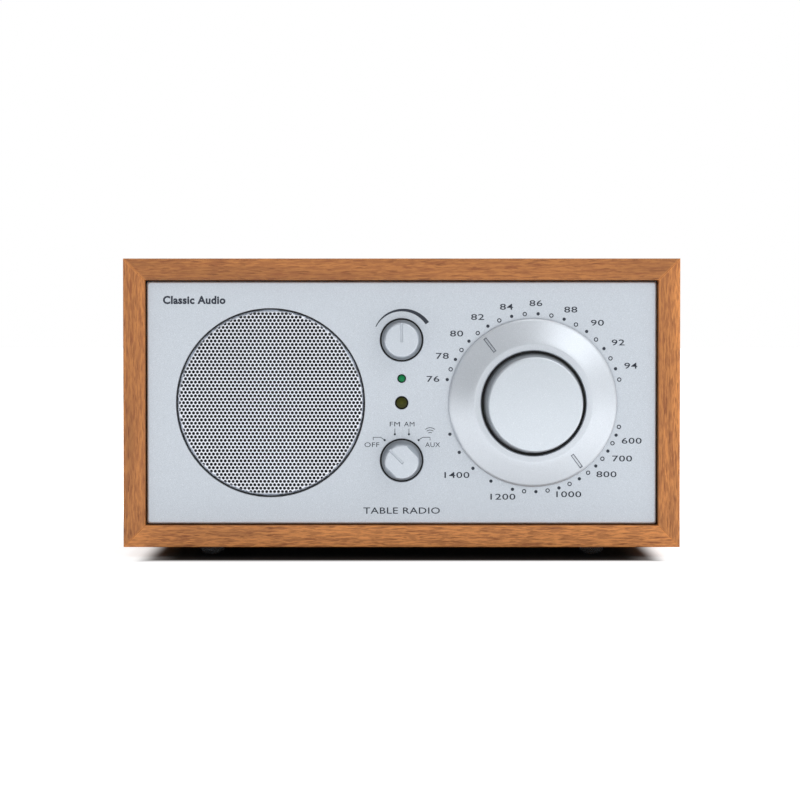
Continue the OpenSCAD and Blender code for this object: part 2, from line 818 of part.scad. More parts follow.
// Rear disc riveted to the pins, with the boss that turns the capacitor.
module carrier_plate() {
    boss_len = boss_end_y - rear_plate_y;
    web = 1.2;
    color("ivory") facing_back(dial_x, rear_plate_y, mid_z) difference() {
        union() {
            cylinder(r = carrier_r, h = carrier_t);
            cylinder(r = boss_r, h = boss_len);
        }
        for (a = planet_angles)
            orbit(a, orbit_r) translate([0, 0, -cut]) cylinder(r = pin_r, h = carrier_t + 2 * cut);
        translate([0, 0, -cut]) cylinder(r = pilot_r + running, h = cut + carrier_t);
        translate([0, 0, carrier_t + web]) cylinder(r = shaft_r, h = boss_len);
    }
}

// A planet at the given turn round the dial's axis, in mesh with the sun and the ring.
module planet(a) {
    color("khaki") facing_back(dial_x, gear_y, mid_z) orbit(a, orbit_r)
        rotate([0, 0, 90 + 180 / planet_teeth]) gear(planet_teeth, pin_r + running, gear_w);
}

module planet_gear_a() { planet(planet_angles[0]); }
module planet_gear_b() { planet(planet_angles[1]); }
module planet_gear_c() { planet(planet_angles[2]); }

// Fixed ring gear, the drive's housing, with three ears.
module ring_gear() {
    color("ivory") facing_back(dial_x, mount_y, mid_z) difference() {
        union() {
            linear_extrude(housing_d) difference() {
                circle(r = housing_r);
                rotate([0, 0, 90 + 180 / ring_teeth])
                    polygon(gear_outline(ring_teeth, dedendum, addendum, -backlash));
            }
            for (a = ear_angles) rotate([0, 0, a]) linear_extrude(ear_t) difference() {
                union() {
                    translate([0, -ear_at]) circle(r = 3.2);
                    translate([-3.2, -ear_at]) square([6.4, ear_at - ring_r - dedendum - 1]);
                }
                circle(r = housing_r - 1);
            }
        }
        for (a = ear_angles)
            orbit(a, ear_at) translate([0, 0, -cut]) cylinder(r = screw_r, h = ear_t + 2 * cut);
        for (x = [-1, 1])
            translate([x * bracket_screw_at, 0, housing_d - screw_len])
                cylinder(r = screw_r, h = screw_len + cut);
    }
}

module tuning_knob() {
    back = hub_flange_gap + hub_flange_t + 0.5;
    len = knob_reach - back;
    base_r = dial_bore_r - knob_ring_gap;
    front_r = base_r - 1.5;
    wall = 1.8;
    edge = 0.5;
    color("lightsteelblue") facing_back(dial_x, panel_y - back, mid_z) difference() {
        rotate_extrude()
            polygon([[0, 0], [base_r, 0], [front_r, -len + edge], [front_r - edge, -len], [0, -len]]);
        difference() {
            translate([0, 0, -len + wall]) cylinder(r = front_r - wall, h = len);
            translate([0, 0, -len]) cylinder(r = tuning_shaft_r + 2.5, h = len - 1);
        }
        translate([0, 0, -len + wall]) cylinder(r = tuning_shaft_r, h = len);
    }
}

module tuning_shaft() {
    front = panel_y - knob_reach + 1.8;
    color("silver") facing_back(dial_x, front, mid_z) {
        cylinder(r = tuning_shaft_r, h = gear_y - front + sink);
        translate([0, 0, gear_y - front]) rotate([0, 0, 90]) gear(sun_teeth, 0, gear_w);
        translate([0, 0, gear_y - front + gear_w - sink])
            cylinder(r = pilot_r, h = sink + gear_gap + carrier_t - fit_gap);
    }
}

module tuner_bracket() {
    spacer = capacitor_w / 2 - 3;
    color("silver") facing_back(dial_x, bracket_y, mid_z) difference() {
        union() {
            translate([-housing_r, -14, 0]) cube([2 * housing_r, 28, bracket_t]);
            for (x = [-1, 1], y = [-1, 1])
                translate([x * spacer, y * spacer, 0]) cylinder(r = 2, h = capacitor_y - bracket_y);
        }
        translate([0, 0, -cut]) cylinder(r = boss_r + 0.8, h = bracket_t + 2 * cut);
        for (x = [-1, 1])
            translate([x * bracket_screw_at, 0, -cut]) cylinder(r = screw_r, h = bracket_t + 2 * cut);
    }
}

module capacitor_case() {
    inside = capacitor_w - 2 * capacitor_wall;
    color("gainsboro") facing_back(dial_x, capacitor_y, mid_z) difference() {
        translate([-capacitor_w / 2, -capacitor_w / 2, 0]) cube([capacitor_w, capacitor_w, capacitor_d]);
        translate([-inside / 2, -inside / 2, capacitor_wall])
            cube([inside, inside, capacitor_d - 2 * capacitor_wall]);
        translate([0, 0, -cut]) cylinder(r = shaft_r + running, h = capacitor_wall + 2 * cut);
    }
}

// Fixed plates that stand between the rotor's vanes, on two posts.
module capacitor_stator() {
    inside = capacitor_w - 2 * capacitor_wall;
    post_at = inside / 2 - 1.2;
    color("gold") facing_back(dial_x, capacitor_y + capacitor_wall, mid_z) {
        for (i = [1:vanes - 1])
            translate([0, 0, (i + 0.5) * vane_pitch]) linear_extrude(vane_t) difference() {
            translate([-inside / 2 + 0.2, -inside / 2 + 0.2]) square([inside - 0.4, inside / 2 - 0.2]);
            circle(r = shaft_r + 1);
            for (x = [-1, 1]) translate([x * post_at, -post_at]) circle(r = 0.7);
        }
        for (x = [-1, 1])
            translate([x * post_at, -post_at, 0]) cylinder(r = 0.7, h = capacitor_d - 2 * capacitor_wall);
    }
}

// Shaft with half-round vanes, turned by the carrier.
module capacitor_rotor() {
    front = rear_plate_y + carrier_t + 1.2;
    color("gold") {
        rod(dial_x, front, mid_z, shaft_r, capacitor_y + capacitor_d - capacitor_wall - 0.3 - front);
        facing_back(dial_x, capacitor_y + capacitor_wall, mid_z) rotate([0, 0, pointer_angle])
            for (i = [1:vanes])
            translate([0, 0, i * vane_pitch]) linear_extrude(vane_t) intersection() {
                circle(r = vane_r);
                translate([-vane_r, 0]) square([2 * vane_r, vane_r]);
            }
    }
}

// ---------- electronics ----------

module main_board() {
    color("seagreen") {
        difference() {
            translate([board_x0, board_y0, board_z])
                cube([board_x1 - board_x0, board_y1 - board_y0, board_pcb_t]);
            for (x = [board_x0 + 4, board_x1 - 4], y = [board_y0 + 4, board_y1 - 4])
                translate([x, y, board_z - cut]) cylinder(r = 1.5, h = board_pcb_t + 2 * cut);
        }
    }
    color("white") for (x = [board_x0 + 4, board_x1 - 4], y = [board_y0 + 4, board_y1 - 4])
        translate([x, y, floor_z]) cylinder(r = 2.6, h = board_z - floor_z);
}

// Components standing on the main board: cans, chips, capacitors and a heat sink.
module board_parts() {
    top = board_z + board_pcb_t;
    color("darkslategray") {
        for (i = [0:3]) translate([board_x0 + 12 + i * 11, board_y0 + 40, top]) cylinder(r = 4, h = 12);
        translate([board_x0 + 8, board_y0 + 6, top]) cube([9, 18, 2.4]);
        translate([board_x0 + 24, board_y0 + 8, top]) cube([7, 14, 2.2]);
        for (i = [0:2]) translate([board_x0 + 40 + i * 12, board_y0 + 8, top]) cube([7, 7, 9]);
        translate([board_x0 + 58, board_y0 + 26, top]) cube([16, 12, 10]);
        for (i = [0:4]) translate([board_x0 + 25 + i * 3, board_y0 + 26, top]) cube([1.2, 9, 14]);
    }
}

module ferrite_rod() {
    color("dimgray") translate([rod_x - rod_len / 2, rod_y, rod_z])
        rotate([0, 90, 0]) cylinder(r = rod_r, h = rod_len);
}

module aerial_coil() {
    color("sienna") translate([rod_x - 12, rod_y, rod_z]) rotate([0, 90, 0]) ring(rod_r + 1.2, rod_r, 24);
}

module rod_holders() {
    color("white") for (side = [-1, 1]) difference() {
        translate([rod_x + side * 38 - 3, rod_y - 8, rod_z - 7.2]) cube([6, 16, ceiling_z - rod_z + 7.2]);
        translate([rod_x + side * 38 - 3 - cut, rod_y, rod_z])
            rotate([0, 90, 0]) cylinder(r = rod_r, h = 6 + 2 * cut);
    }
}

// Laminated core with two windows.
module transformer_core() {
    window_w = (core_w - 4 * core_leg) / 2;
    color("slategray") slab(core_y - core_d / 2, core_d)
        translate([core_x, floor_z + core_h / 2]) difference() {
        square([core_w, core_h], center = true);
        for (side = [-1, 1]) translate([side * (core_leg + window_w / 2), 0])
            square([window_w, core_h - 2 * core_leg], center = true);
    }
}

// Winding round the middle leg.
module transformer_coil() {
    window_w = (core_w - 4 * core_leg) / 2;
    h = core_h - 2 * core_leg - 1;
    w = 2 * (core_leg + window_w) - 0.6;
    d = core_d + 2 * window_w;
    color("khaki") translate([core_x, core_y, floor_z + core_h / 2]) difference() {
        cube([w, d, h], center = true);
        cube([2 * core_leg, core_d, h + cut], center = true);
    }
}

// Two leads from the board to the loudspeaker's tags.
module speaker_leads() {
    tag_y = spider_y + spider_t - 1.4;
    end = [board_x0 + 3.5, board_y0 + 12, board_z + board_pcb_t];
    color("firebrick") for (s = [-1, 1]) {
        tag = [speaker_x + basket_back_r + 5, tag_y, mid_z + s * 4 + 1.6];
        tube([
            tag,
            tag + [2.5, 0, 0],
            tag + [5, 0.6, -0.8],
            tag + [9, 3, -4],
            tag + [15, 6 + s, -11 - s],
            tag + [21, 9 + 2 * s, -20 - 2 * s],
            tag + [28, 10 + 3 * s, -30 - 3 * s],
            end + [-1.5, s * 3, 9],
            end + [0, s * 3, 6],
            end + [0, s * 3, 3],
            end + [0, s * 3, 0]
        ], 0.8);
    }
}

// ---------- rear ----------

module rear_panel() {
    w = inner_w - 2 * fit_gap;
    h = inner_h - 2 * fit_gap;
    color("black") slab(rear_in_y, rear_t) difference() {
        translate([0, mid_z]) square([w, h], center = true);
        for (x = [-1, 1], z = [-1, 1])
            translate([x * rear_screw_x, mid_z + z * rear_screw_z]) circle(r = rear_screw_r + fit_gap);
        for (x = jack_x) translate([x, jack_z]) circle(r = 4);
        translate([switch_x, aerial_z]) square([switch_travel + 5.6, 4.2], center = true);
        translate([aerial_x, aerial_z]) circle(r = aerial_r);
        translate([inlet_x, inlet_z]) square([inlet_w - 4, inlet_h - 2], center = true);
    }
}

module rear_screws() {
    color("dimgray") for (x = [-1, 1], z = [-1, 1])
        facing_back(x * rear_screw_x, rear_y, mid_z + z * rear_screw_z)
            screw(rear_screw_r, rear_screw_len, rear_screw_head_r, rear_screw_head_h);
}

// Upright board that carries the jacks, with the body of the aerial switch on it.
module rear_board() {
    color("seagreen") slab(rear_board_y - board_pcb_t, board_pcb_t) {
        translate([-30, floor_z + 10]) square([114, 20]);
        translate([36, floor_z + 29]) square([48, 29]);
    }
    color("dimgray") {
        difference() {
            slab(rear_board_y, rear_in_y - rear_board_y)
                translate([switch_x, aerial_z]) square([15, 8], center = true);
            slab(rear_in_y - 3, 4)
                translate([switch_x, aerial_z]) square([switch_travel + 5.4, 4.4], center = true);
        }
    }
}

// Two-pin mains socket in a shroud.
module mains_inlet() {
    back = rear_y + 1.2;
    color("black") {
        difference() {
            union() {
                slab(rear_y, 1.2) translate([inlet_x, inlet_z]) round_rect(inlet_w, inlet_h, 2);
                slab(rear_in_y - 12, rear_t + 12) translate([inlet_x, inlet_z])
                    square([inlet_w - 4, inlet_h - 2], center = true);
            }
            slab(back - inlet_cavity_d, inlet_cavity_d + cut) translate([inlet_x, inlet_z])
                round_rect(inlet_cavity_w, inlet_cavity_h, inlet_cavity_h / 2 - 0.1);
        }
        for (s = [-1, 1]) rod(inlet_x + s * inlet_pin_x, back - inlet_cavity_d, inlet_z, inlet_pin_r, 9);
    }
}

// Three identical jacks: body on the board, barrel through the rear panel.
module audio_jacks() {
    barrel_end = rear_y + 0.8;
    depth = 13;
    color("dimgray") for (x = jack_x) difference() {
        union() {
            slab(rear_board_y, rear_in_y - rear_board_y) translate([x, jack_z]) square(11, center = true);
            rod(x, rear_in_y - 0.2, jack_z, 4, barrel_end - rear_in_y + 0.2);
        }
        rod(x, barrel_end - depth, jack_z, jack_bore_r, depth + cut);
    }
}

module aerial_socket() {
    end = back_y + rear_out;
    color("silver") difference() {
        union() {
            rod(aerial_x, rear_board_y, aerial_z, aerial_r, end - rear_board_y);
            facing_back(aerial_x, rear_y, aerial_z) cylinder(r = 7.2, h = 1.8, $fn = 6);
            slab(rear_board_y, rear_in_y - rear_board_y)
                translate([aerial_x, aerial_z]) square(13, center = true);
        }
        rod(aerial_x, end - 8, aerial_z, 1.2, 8 + cut);
    }
}

// The slide switch's button.
module aerial_switch_slider() {
    color("black") {
        slab(rear_in_y - 2.8, rear_t + 4) translate([switch_x - switch_travel / 2, aerial_z])
            square([5, 3.6], center = true);
    }
}

cabinet_top();
cabinet_bottom();
cabinet_left();
cabinet_right();
glue_blocks();
feet();
bass_port();
faceplate();
front_chassis();
chassis_screws();
speaker_grille();
speaker_gasket();
speaker_basket();
cone_surround();
speaker_cone();
dust_cap();
voice_coil();
cone_spider();
magnet_front_plate();
speaker_magnet();
magnet_yoke();
volume_knob();
volume_shaft();
volume_pot();
selector_knob();
selector_shaft();
selector_switch();
control_nuts();
control_board();
power_led();
tuning_led();
dial_ring();
dial_hub();
planet_carrier();
carrier_plate();
planet_gear_a();
planet_gear_b();
planet_gear_c();
ring_gear();
tuning_knob();
tuning_shaft();
capacitor_case();
capacitor_stator();
capacitor_rotor();
tuner_bracket();
main_board();
board_parts();
ferrite_rod();
aerial_coil();
rod_holders();
transformer_core();
transformer_coil();
speaker_leads();
rear_panel();
rear_screws();
rear_board();
mains_inlet();
audio_jacks();
aerial_socket();
aerial_switch_slider();
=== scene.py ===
import logging
import math
from collections.abc import Iterable, Sequence
from dataclasses import dataclass, field
from enum import Enum
from functools import cached_property
from typing import Any, NamedTuple

import bmesh
import bpy
from mathutils import Matrix, Vector


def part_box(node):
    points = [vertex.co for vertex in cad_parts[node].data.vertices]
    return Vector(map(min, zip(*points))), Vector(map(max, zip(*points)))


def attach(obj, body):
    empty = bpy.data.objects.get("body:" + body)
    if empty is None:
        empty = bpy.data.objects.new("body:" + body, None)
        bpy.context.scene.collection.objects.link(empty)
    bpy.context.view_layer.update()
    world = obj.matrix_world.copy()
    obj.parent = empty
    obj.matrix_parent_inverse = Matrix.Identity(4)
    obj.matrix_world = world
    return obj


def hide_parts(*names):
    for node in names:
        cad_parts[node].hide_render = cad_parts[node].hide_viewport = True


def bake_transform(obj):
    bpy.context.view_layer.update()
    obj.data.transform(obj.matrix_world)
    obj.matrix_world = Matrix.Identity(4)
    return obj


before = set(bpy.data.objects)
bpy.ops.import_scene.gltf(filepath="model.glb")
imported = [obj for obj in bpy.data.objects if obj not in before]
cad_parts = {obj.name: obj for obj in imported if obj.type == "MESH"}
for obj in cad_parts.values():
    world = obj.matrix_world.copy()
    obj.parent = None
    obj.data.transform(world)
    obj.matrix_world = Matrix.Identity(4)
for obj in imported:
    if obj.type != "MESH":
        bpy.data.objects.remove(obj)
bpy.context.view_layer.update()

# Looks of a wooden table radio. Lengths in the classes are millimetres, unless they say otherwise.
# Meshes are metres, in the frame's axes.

log = logging.getLogger("table_radio")
MM = 0.001
TINY = 1e-7
LENS_FLANGE = 0.4    # how far a light's flange stands out from its barrel

Rgb = tuple[float, float, float]
Place = tuple[float, float, float]


# ---------- measuring ----------


def middle_of(node: str) -> Vector:
    """Gives the middle of a CAD node's box, in metres."""
    low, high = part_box(node)
    return (low + high) / 2


def span_of(node: str) -> Vector:
    """Gives the size of a CAD node's box, in metres."""
    low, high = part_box(node)
    return high - low


def paint(red: int, green: int, blue: int) -> Rgb:
    """Turns a colour as a screen shows it into the linear colour that a shader takes.

    Args:
        red: Red, 0 to 255.
        green: Green, 0 to 255.
        blue: Blue, 0 to 255.

    Returns:
        The linear colour, each part 0 to 1.
    """
    parts = [part / 255 for part in (red, green, blue)]
    return tuple(part / 12.92 if part <= 0.04045 else ((part + 0.055) / 1.055) ** 2.4 for part in parts)


# ---------- shader sums ----------


class Wire:
    """A shader socket that takes part in sums."""

    def __init__(self, sheet: "NodeSheet", socket: bpy.types.NodeSocket) -> None:
        """Wraps one output socket of a sheet."""
        self.sheet = sheet
        self.socket = socket

    def __add__(self, other: "Wire | float") -> "Wire":
        """Adds."""
        return self.sheet.sum("ADD", self, other)

    __radd__ = __add__

    def __sub__(self, other: "Wire | float") -> "Wire":
        """Takes away."""
        return self.sheet.sum("SUBTRACT", self, other)

    def __rsub__(self, other: float) -> "Wire":
        """Takes this from a number."""
        return self.sheet.sum("SUBTRACT", other, self)

    def __mul__(self, other: "Wire | float") -> "Wire":
        """Multiplies."""
        return self.sheet.sum("MULTIPLY", self, other)

    __rmul__ = __mul__

    def __pow__(self, other: float) -> "Wire":
        """Raises to a power."""
        return self.sheet.sum("POWER", self, other)

    def __abs__(self) -> "Wire":
        """Drops the sign."""
        return self.sheet.sum("ABSOLUTE", self)

    def most(self, other: "Wire | float") -> "Wire":
        """Gives the larger of the two."""
        return self.sheet.sum("MAXIMUM", self, other)


class NodeSheet:
    """The node tree of one material or sky, with the shader that it ends in."""

    def __init__(self, made: bpy.types.Material | bpy.types.World, origin: str = "Object") -> None:
        """Starts from a new material's or sky's own nodes.

        Args:
            made: The material or the sky.
            origin: Which coordinates its patterns are read at.
        """
        made.use_nodes = True
        self.made, self.tree, self.origin = made, made.node_tree, origin
        self.shader = next(n for n in self.tree.nodes if n.type in ("BSDF_PRINCIPLED", "BACKGROUND"))

    def add(self, kind: str, settings: dict[str, Any] | None = None,
            inputs: dict[str | int, Any] | None = None) -> bpy.types.Node:
        """Adds a node.

        Args:
            kind: The node's type, without its first word.
            settings: The node's own settings.
            inputs: What goes into each socket, a value or a Wire.

        Returns:
            The node.
        """
        node = self.tree.nodes.new("ShaderNode" + kind)
        for name, value in (settings or {}).items():
            setattr(node, name, value)
        for name, value in (inputs or {}).items():
            self.plug(node.inputs[name], value)
        return node

    def plug(self, socket: bpy.types.NodeSocket, value: Any) -> None:
        """Links a Wire to a socket, or sets the socket's own value.

        Args:
            socket: The input socket.
            value: A Wire, a number, or the parts of a colour or a vector.
        """
        if isinstance(value, Wire):
            self.tree.links.new(value.socket, socket)
        elif socket.type == "RGBA":
            socket.default_value = (*value, 1)
        else:
            socket.default_value = value

    def sum(self, operation: str, *values: "Wire | float") -> Wire:
        """Adds one Math node and gives its result."""
        node = self.add("Math", {"operation": operation}, dict(enumerate(values)))
        return Wire(self, node.outputs[0])

    @cached_property
    def place(self) -> Wire:
        """Gives the point on the piece, in metres."""
        return Wire(self, self.add("TexCoord").outputs[self.origin])

    def stretched(self, scale: Place, middle: Place = (0, 0, 0), turn: Place = (0, 0, 0)) -> Wire:
        """Gives the point on the piece, centred, turned and stretched.

        Args:
            scale: The scale on each axis.
            middle: The point that becomes the origin.
            turn: The turn about each axis, in radians.

        Returns:
            The new point.
        """
        shift = self.add("VectorMath", {"operation": "SUBTRACT"}, {0: self.place, 1: middle})
        node = self.add("Mapping", {"vector_type": "POINT"},
                        {"Vector": Wire(self, shift.outputs[0]), "Rotation": turn, "Scale": scale})
        return Wire(self, node.outputs[0])

    def parts(self, point: Wire) -> list[Wire]:
        """Splits a point into its three numbers."""
        node = self.add("SeparateXYZ", {}, {0: point})
        return [Wire(self, out) for out in node.outputs]

    def noise(self, scale: float, detail: float = 2, roughness: float = 0.5, at: Wire | None = None,
              bend: float = 0) -> Wire:
        """Gives smooth noise from 0 to 1.

        Args:
            scale: How many features fit in a metre.
            detail: How many finer layers it has.
            roughness: How strong the finer layers are.
            at: The point that it is read at, or the place on the piece.
            bend: How far it is pushed about.

        Returns:
            The noise.
        """
        node = self.add("TexNoise", {}, {
            "Vector": at or self.place, "Scale": scale, "Detail": detail, "Roughness": roughness,
            "Distortion": bend,
        })
        return Wire(self, node.outputs[0])

    def cells(self, scale: float, uneven: float = 1, distance: str = "EUCLIDEAN") -> Wire:
        """Gives the distance to the middle of the nearest cell, with so many cells to the metre."""
        node = self.add("TexVoronoi", {"feature": "F1", "distance": distance},
                        {"Vector": self.place, "Scale": scale, "Randomness": uneven})
        return Wire(self, node.outputs["Distance"])

    def waves(self, scale: float, at: Wire, bend: float = 0, axis: str = "X") -> Wire:
        """Gives straight waves from 0 to 1, with so many to the metre along an axis."""
        node = self.add("TexWave", {"wave_type": "BANDS", "bands_direction": axis, "wave_profile": "SIN"},
                        {"Vector": at, "Scale": scale * math.pi / 10, "Distortion": bend, "Detail": 1})
        return Wire(self, node.outputs[1])

    def fade(self, value: Wire, low: float, high: float) -> Wire:
        """Gives 0 below low, 1 above high, and a smooth change between."""
        node = self.add("MapRange", {"interpolation_type": "SMOOTHSTEP"},
                        {"Value": value, "From Min": low, "From Max": high})
        return Wire(self, node.outputs[0])

    def mix(self, share: "Wire | float", first: Any, second: Any) -> Wire:
        """Mixes two colours.

        Args:
            share: How much of the second there is.
            first: A colour or a Wire.
            second: A colour or a Wire.

        Returns:
            The mixed colour.
        """
        node = self.add("Mix", {"data_type": "RGBA", "blend_type": "MIX"}, {0: share, 6: first, 7: second})
        return Wire(self, node.outputs[2])

    def relief(self, height: Wire, deep: float, strength: float = 1) -> None:
        """Feeds a height into the shader's normal.

        Args:
            height: The height, 0 to 1.
            deep: How far 1 stands above 0, in millimetres.
            strength: How much of it shows.
        """
        node = self.add("Bump", {}, {"Height": height, "Distance": deep * MM, "Strength": strength})
        self.plug(self.shader.inputs["Normal"], Wire(self, node.outputs[0]))

    def feed(self, **values: Any) -> None:
        """Sets or links the shader's sockets, named with _ for each space."""
        for name, value in values.items():
            self.plug(self.shader.inputs[name.replace("_", " ")], value)


# ---------- finishes ----------


@dataclass(frozen=True)
class Finish:
    """A finish that pieces are covered in."""

    name: str
    slot: str
    colour: Rgb

    @cached_property
    def material(self) -> bpy.types.Material:
        """Gives the finish's material, made once."""
        sheet = NodeSheet(bpy.data.materials.new(self.name))
        self.lay(sheet)
        sheet.made.diffuse_color = (*self.colour, 1)
        return sheet.made

    def lay(self, sheet: NodeSheet) -> None:
        """Lays the finish's nodes on a sheet."""
        raise NotImplementedError

    def shade(self, factor: float) -> Rgb:
        """Gives the finish's colour, lighter or darker."""
        return tuple(min(part * factor, 1) for part in self.colour)


class Grain(Enum):
    """The way that a board's grain runs."""

    SIDEWAYS = 0
    UPRIGHT = 2


@dataclass(frozen=True)
class CherryVeneer(Finish):
    """Oiled cherry veneer: fibres and short dark streaks along the board, paler along its mitres with edge
    wear and a painted highlight, the whole board lighter or darker by painted light.
    """

    grain: Grain = Grain.SIDEWAYS
    # brighter is painted light: it makes a lit or shaded copy of the veneer for each side of the box.
    brighter: float = 1
    fibre_brown: Rgb = paint(120, 66, 36)
    streak_brown: Rgb = paint(112, 52, 26)
    pore_brown: Rgb = paint(92, 44, 22)
    knot_brown: Rgb = paint(78, 36, 18)
    mitre_line: float = 1.0

    def lay(self, sheet: NodeSheet) -> None:
        """Lays the veneer."""
        along = self.grain.value

        def run(share: float) -> Wire:
            """Stretches the pattern along the grain, to that share of its scale."""
            return sheet.stretched(tuple(share if axis == along else 1 for axis in range(3)))

        figure = sheet.noise(75, 3, 0.55, run(0.09), 0.6)
        bands = sheet.noise(330, 4, 0.6, run(0.035), 0.2)
        fibres = sheet.noise(1250, 4, 0.7, run(0.13))
        streaks = sheet.fade(sheet.noise(900, 3, 0.65, run(0.09)), 0.56, 0.66)
        pores = sheet.fade(sheet.noise(1900, 1, 0.5, run(0.09)), 0.58, 0.68)
        knots = sheet.fade(sheet.noise(95, 1, 0.4, run(0.3)), 0.74, 0.80)
        wood = sheet.mix(sheet.fade(figure, 0.32, 0.68), self.shade(0.72 * self.brighter),
                         self.shade(1.20 * self.brighter))
        wood = sheet.mix(sheet.fade(bands, 0.32, 0.68) * 0.55, wood, self.shade(1.30 * self.brighter))
        wood = sheet.mix(0.5 * sheet.fade(fibres, 0.40, 0.60), wood, self.fibre_brown)
        wood = sheet.mix(0.48 * streaks, wood, self.streak_brown)
        wood = sheet.mix(0.50 * pores, wood, self.pore_brown)
        wood = sheet.mix(0.55 * knots, wood, self.knot_brown)
        # Edge wear and a painted highlight: a paler line along each mitre, where the eased joint catches
        # light.
        across, _, up = sheet.parts(sheet.stretched((1, 1, 1), tuple(CABINET_MIDDLE)))
        mitre = abs(CABINET_HALF.x - abs(across) - (CABINET_HALF.z - abs(up)))
        mitre_wear_and_highlight = 1 - sheet.fade(mitre, 0.2 * MM, self.mitre_line * MM)
        wood = sheet.mix(0.35 * mitre_wear_and_highlight, wood, self.shade(1.45))
        rough = 0.40 + 0.14 * fibres + 0.12 * pores
        sheet.feed(Base_Color=wood, Roughness=rough, Coat_Weight=0.12, Coat_Roughness=0.35,
                   Specular_IOR_Level=0.3)
        sheet.relief(fibres * 0.5 - pores * 0.8 - streaks * 0.3, 0.03, 0.6)


@dataclass(frozen=True)
class SilverPaint(Finish):
    """Fine metallic paint, with flakes that catch the light."""

    roughness: float = 0.4
    metal: float = 0.55
    flake: float = 0.10
    grit: float = 0.5
    glint: Rgb = (0.93, 0.95, 0.98)

    def lay(self, sheet: NodeSheet) -> None:
        """Lays the paint."""
        flakes = sheet.noise(3400, 1.5, 0.7)
        clouds = sheet.noise(38, 2, 0.5)
        glints = sheet.fade(sheet.noise(5200, 0, 0.5), 0.70, 0.80)
        silver = sheet.mix(sheet.fade(flakes, 0.3, 0.7), self.shade(1 - self.flake),
                           self.shade(1 + self.flake))
        silver = sheet.mix(0.25 * clouds, silver, self.shade(0.94))
        silver = sheet.mix(0.35 * glints, silver, self.glint)
        silver = self.wear_and_painted_shade(sheet, silver)
        sheet.feed(Base_Color=silver, Metallic=self.metal, Roughness=self.roughness + 0.1 * (flakes - 0.5))
        sheet.relief(flakes, 0.01, self.grit)

    def wear_and_painted_shade(self, sheet: NodeSheet, silver: Wire) -> Wire:
        """Gives the paint's colour with any painted shade that a subclass adds, here none."""
        return silver


@dataclass(frozen=True)
class KnobPaint(SilverPaint):
    """Metallic paint on a knob, with painted shade darker down its side behind the face."""

    roughness: float = 0.34
    metal: float = 0.6
    flake: float = 0.05
    node: str = "tuning_knob"
    # How dark the painted shade down the knob's side is, and from how far behind the face to how far it
    # darkens.
    flank_shade: float = 0.52
    flank_from: float = 0.7
    flank_to: float = 3.2

    def wear_and_painted_shade(self, sheet: NodeSheet, silver: Wire) -> Wire:
        """Gives the paint's colour with painted shade, darker behind the knob's face."""
        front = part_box(self.node)[0].y
        behind = sheet.fade(sheet.parts(sheet.place)[1], front + self.flank_from * MM,
                            front + self.flank_to * MM)
        return sheet.mix(behind, silver, self.shade(self.flank_shade))


@dataclass(frozen=True)
class Metal(Finish):
    """Bare or plated metal with fine marks, brushed along one axis when wanted."""

    roughness: float = 0.3
    brushed: Place = (1, 1, 1)
    marks: float = 0.12

    def lay(self, sheet: NodeSheet) -> None:
        """Lays the metal."""
        brush = sheet.noise(2600, 3, 0.6, sheet.stretched(self.brushed))
        stain = sheet.noise(120, 3, 0.6)
        tone = sheet.mix(brush, self.shade(1 - self.marks), self.shade(1 + 0.5 * self.marks))
        tone = sheet.mix(0.25 * sheet.fade(stain, 0.5, 0.8), tone, self.shade(0.8))
        rough = self.roughness + 0.16 * (brush - 0.5) + 0.08 * stain
        sheet.feed(Base_Color=tone, Metallic=1, Roughness=rough)
        sheet.relief(brush, 0.01, 0.25)


@dataclass(frozen=True)
class MouldedPlastic(Finish):
    """Moulded plastic with a spark-worn texture."""

    roughness: float = 0.5
    texture: float = 900
    deep: float = 0.03
    dust_grey: Rgb = (0.35, 0.34, 0.33)

    def lay(self, sheet: NodeSheet) -> None:
        """Lays the plastic."""
        grit = sheet.noise(self.texture, 3, 0.6)
        dust = sheet.fade(sheet.noise(60, 4, 0.6), 0.45, 0.85)
        tone = sheet.mix(grit, self.shade(0.85), self.shade(1.2))
        tone = sheet.mix(0.07 * dust, tone, self.dust_grey)
        sheet.feed(Base_Color=tone, Roughness=self.roughness + 0.14 * (grit - 0.5) + 0.08 * dust)
        sheet.relief(grit, self.deep, 0.5)


@dataclass(frozen=True)
class ClearRubber(Finish):
    """Clear silicone with a cloudy inside."""

    def lay(self, sheet: NodeSheet) -> None:
        """Lays the rubber."""
        cloud = sheet.noise(420, 2, 0.5)
        tone = sheet.mix(cloud, self.shade(0.9), self.colour)
        sheet.feed(Base_Color=tone, Roughness=0.16 + 0.1 * cloud, Transmission_Weight=0.82, IOR=1.41)
        sheet.relief(cloud, 0.02, 0.2)


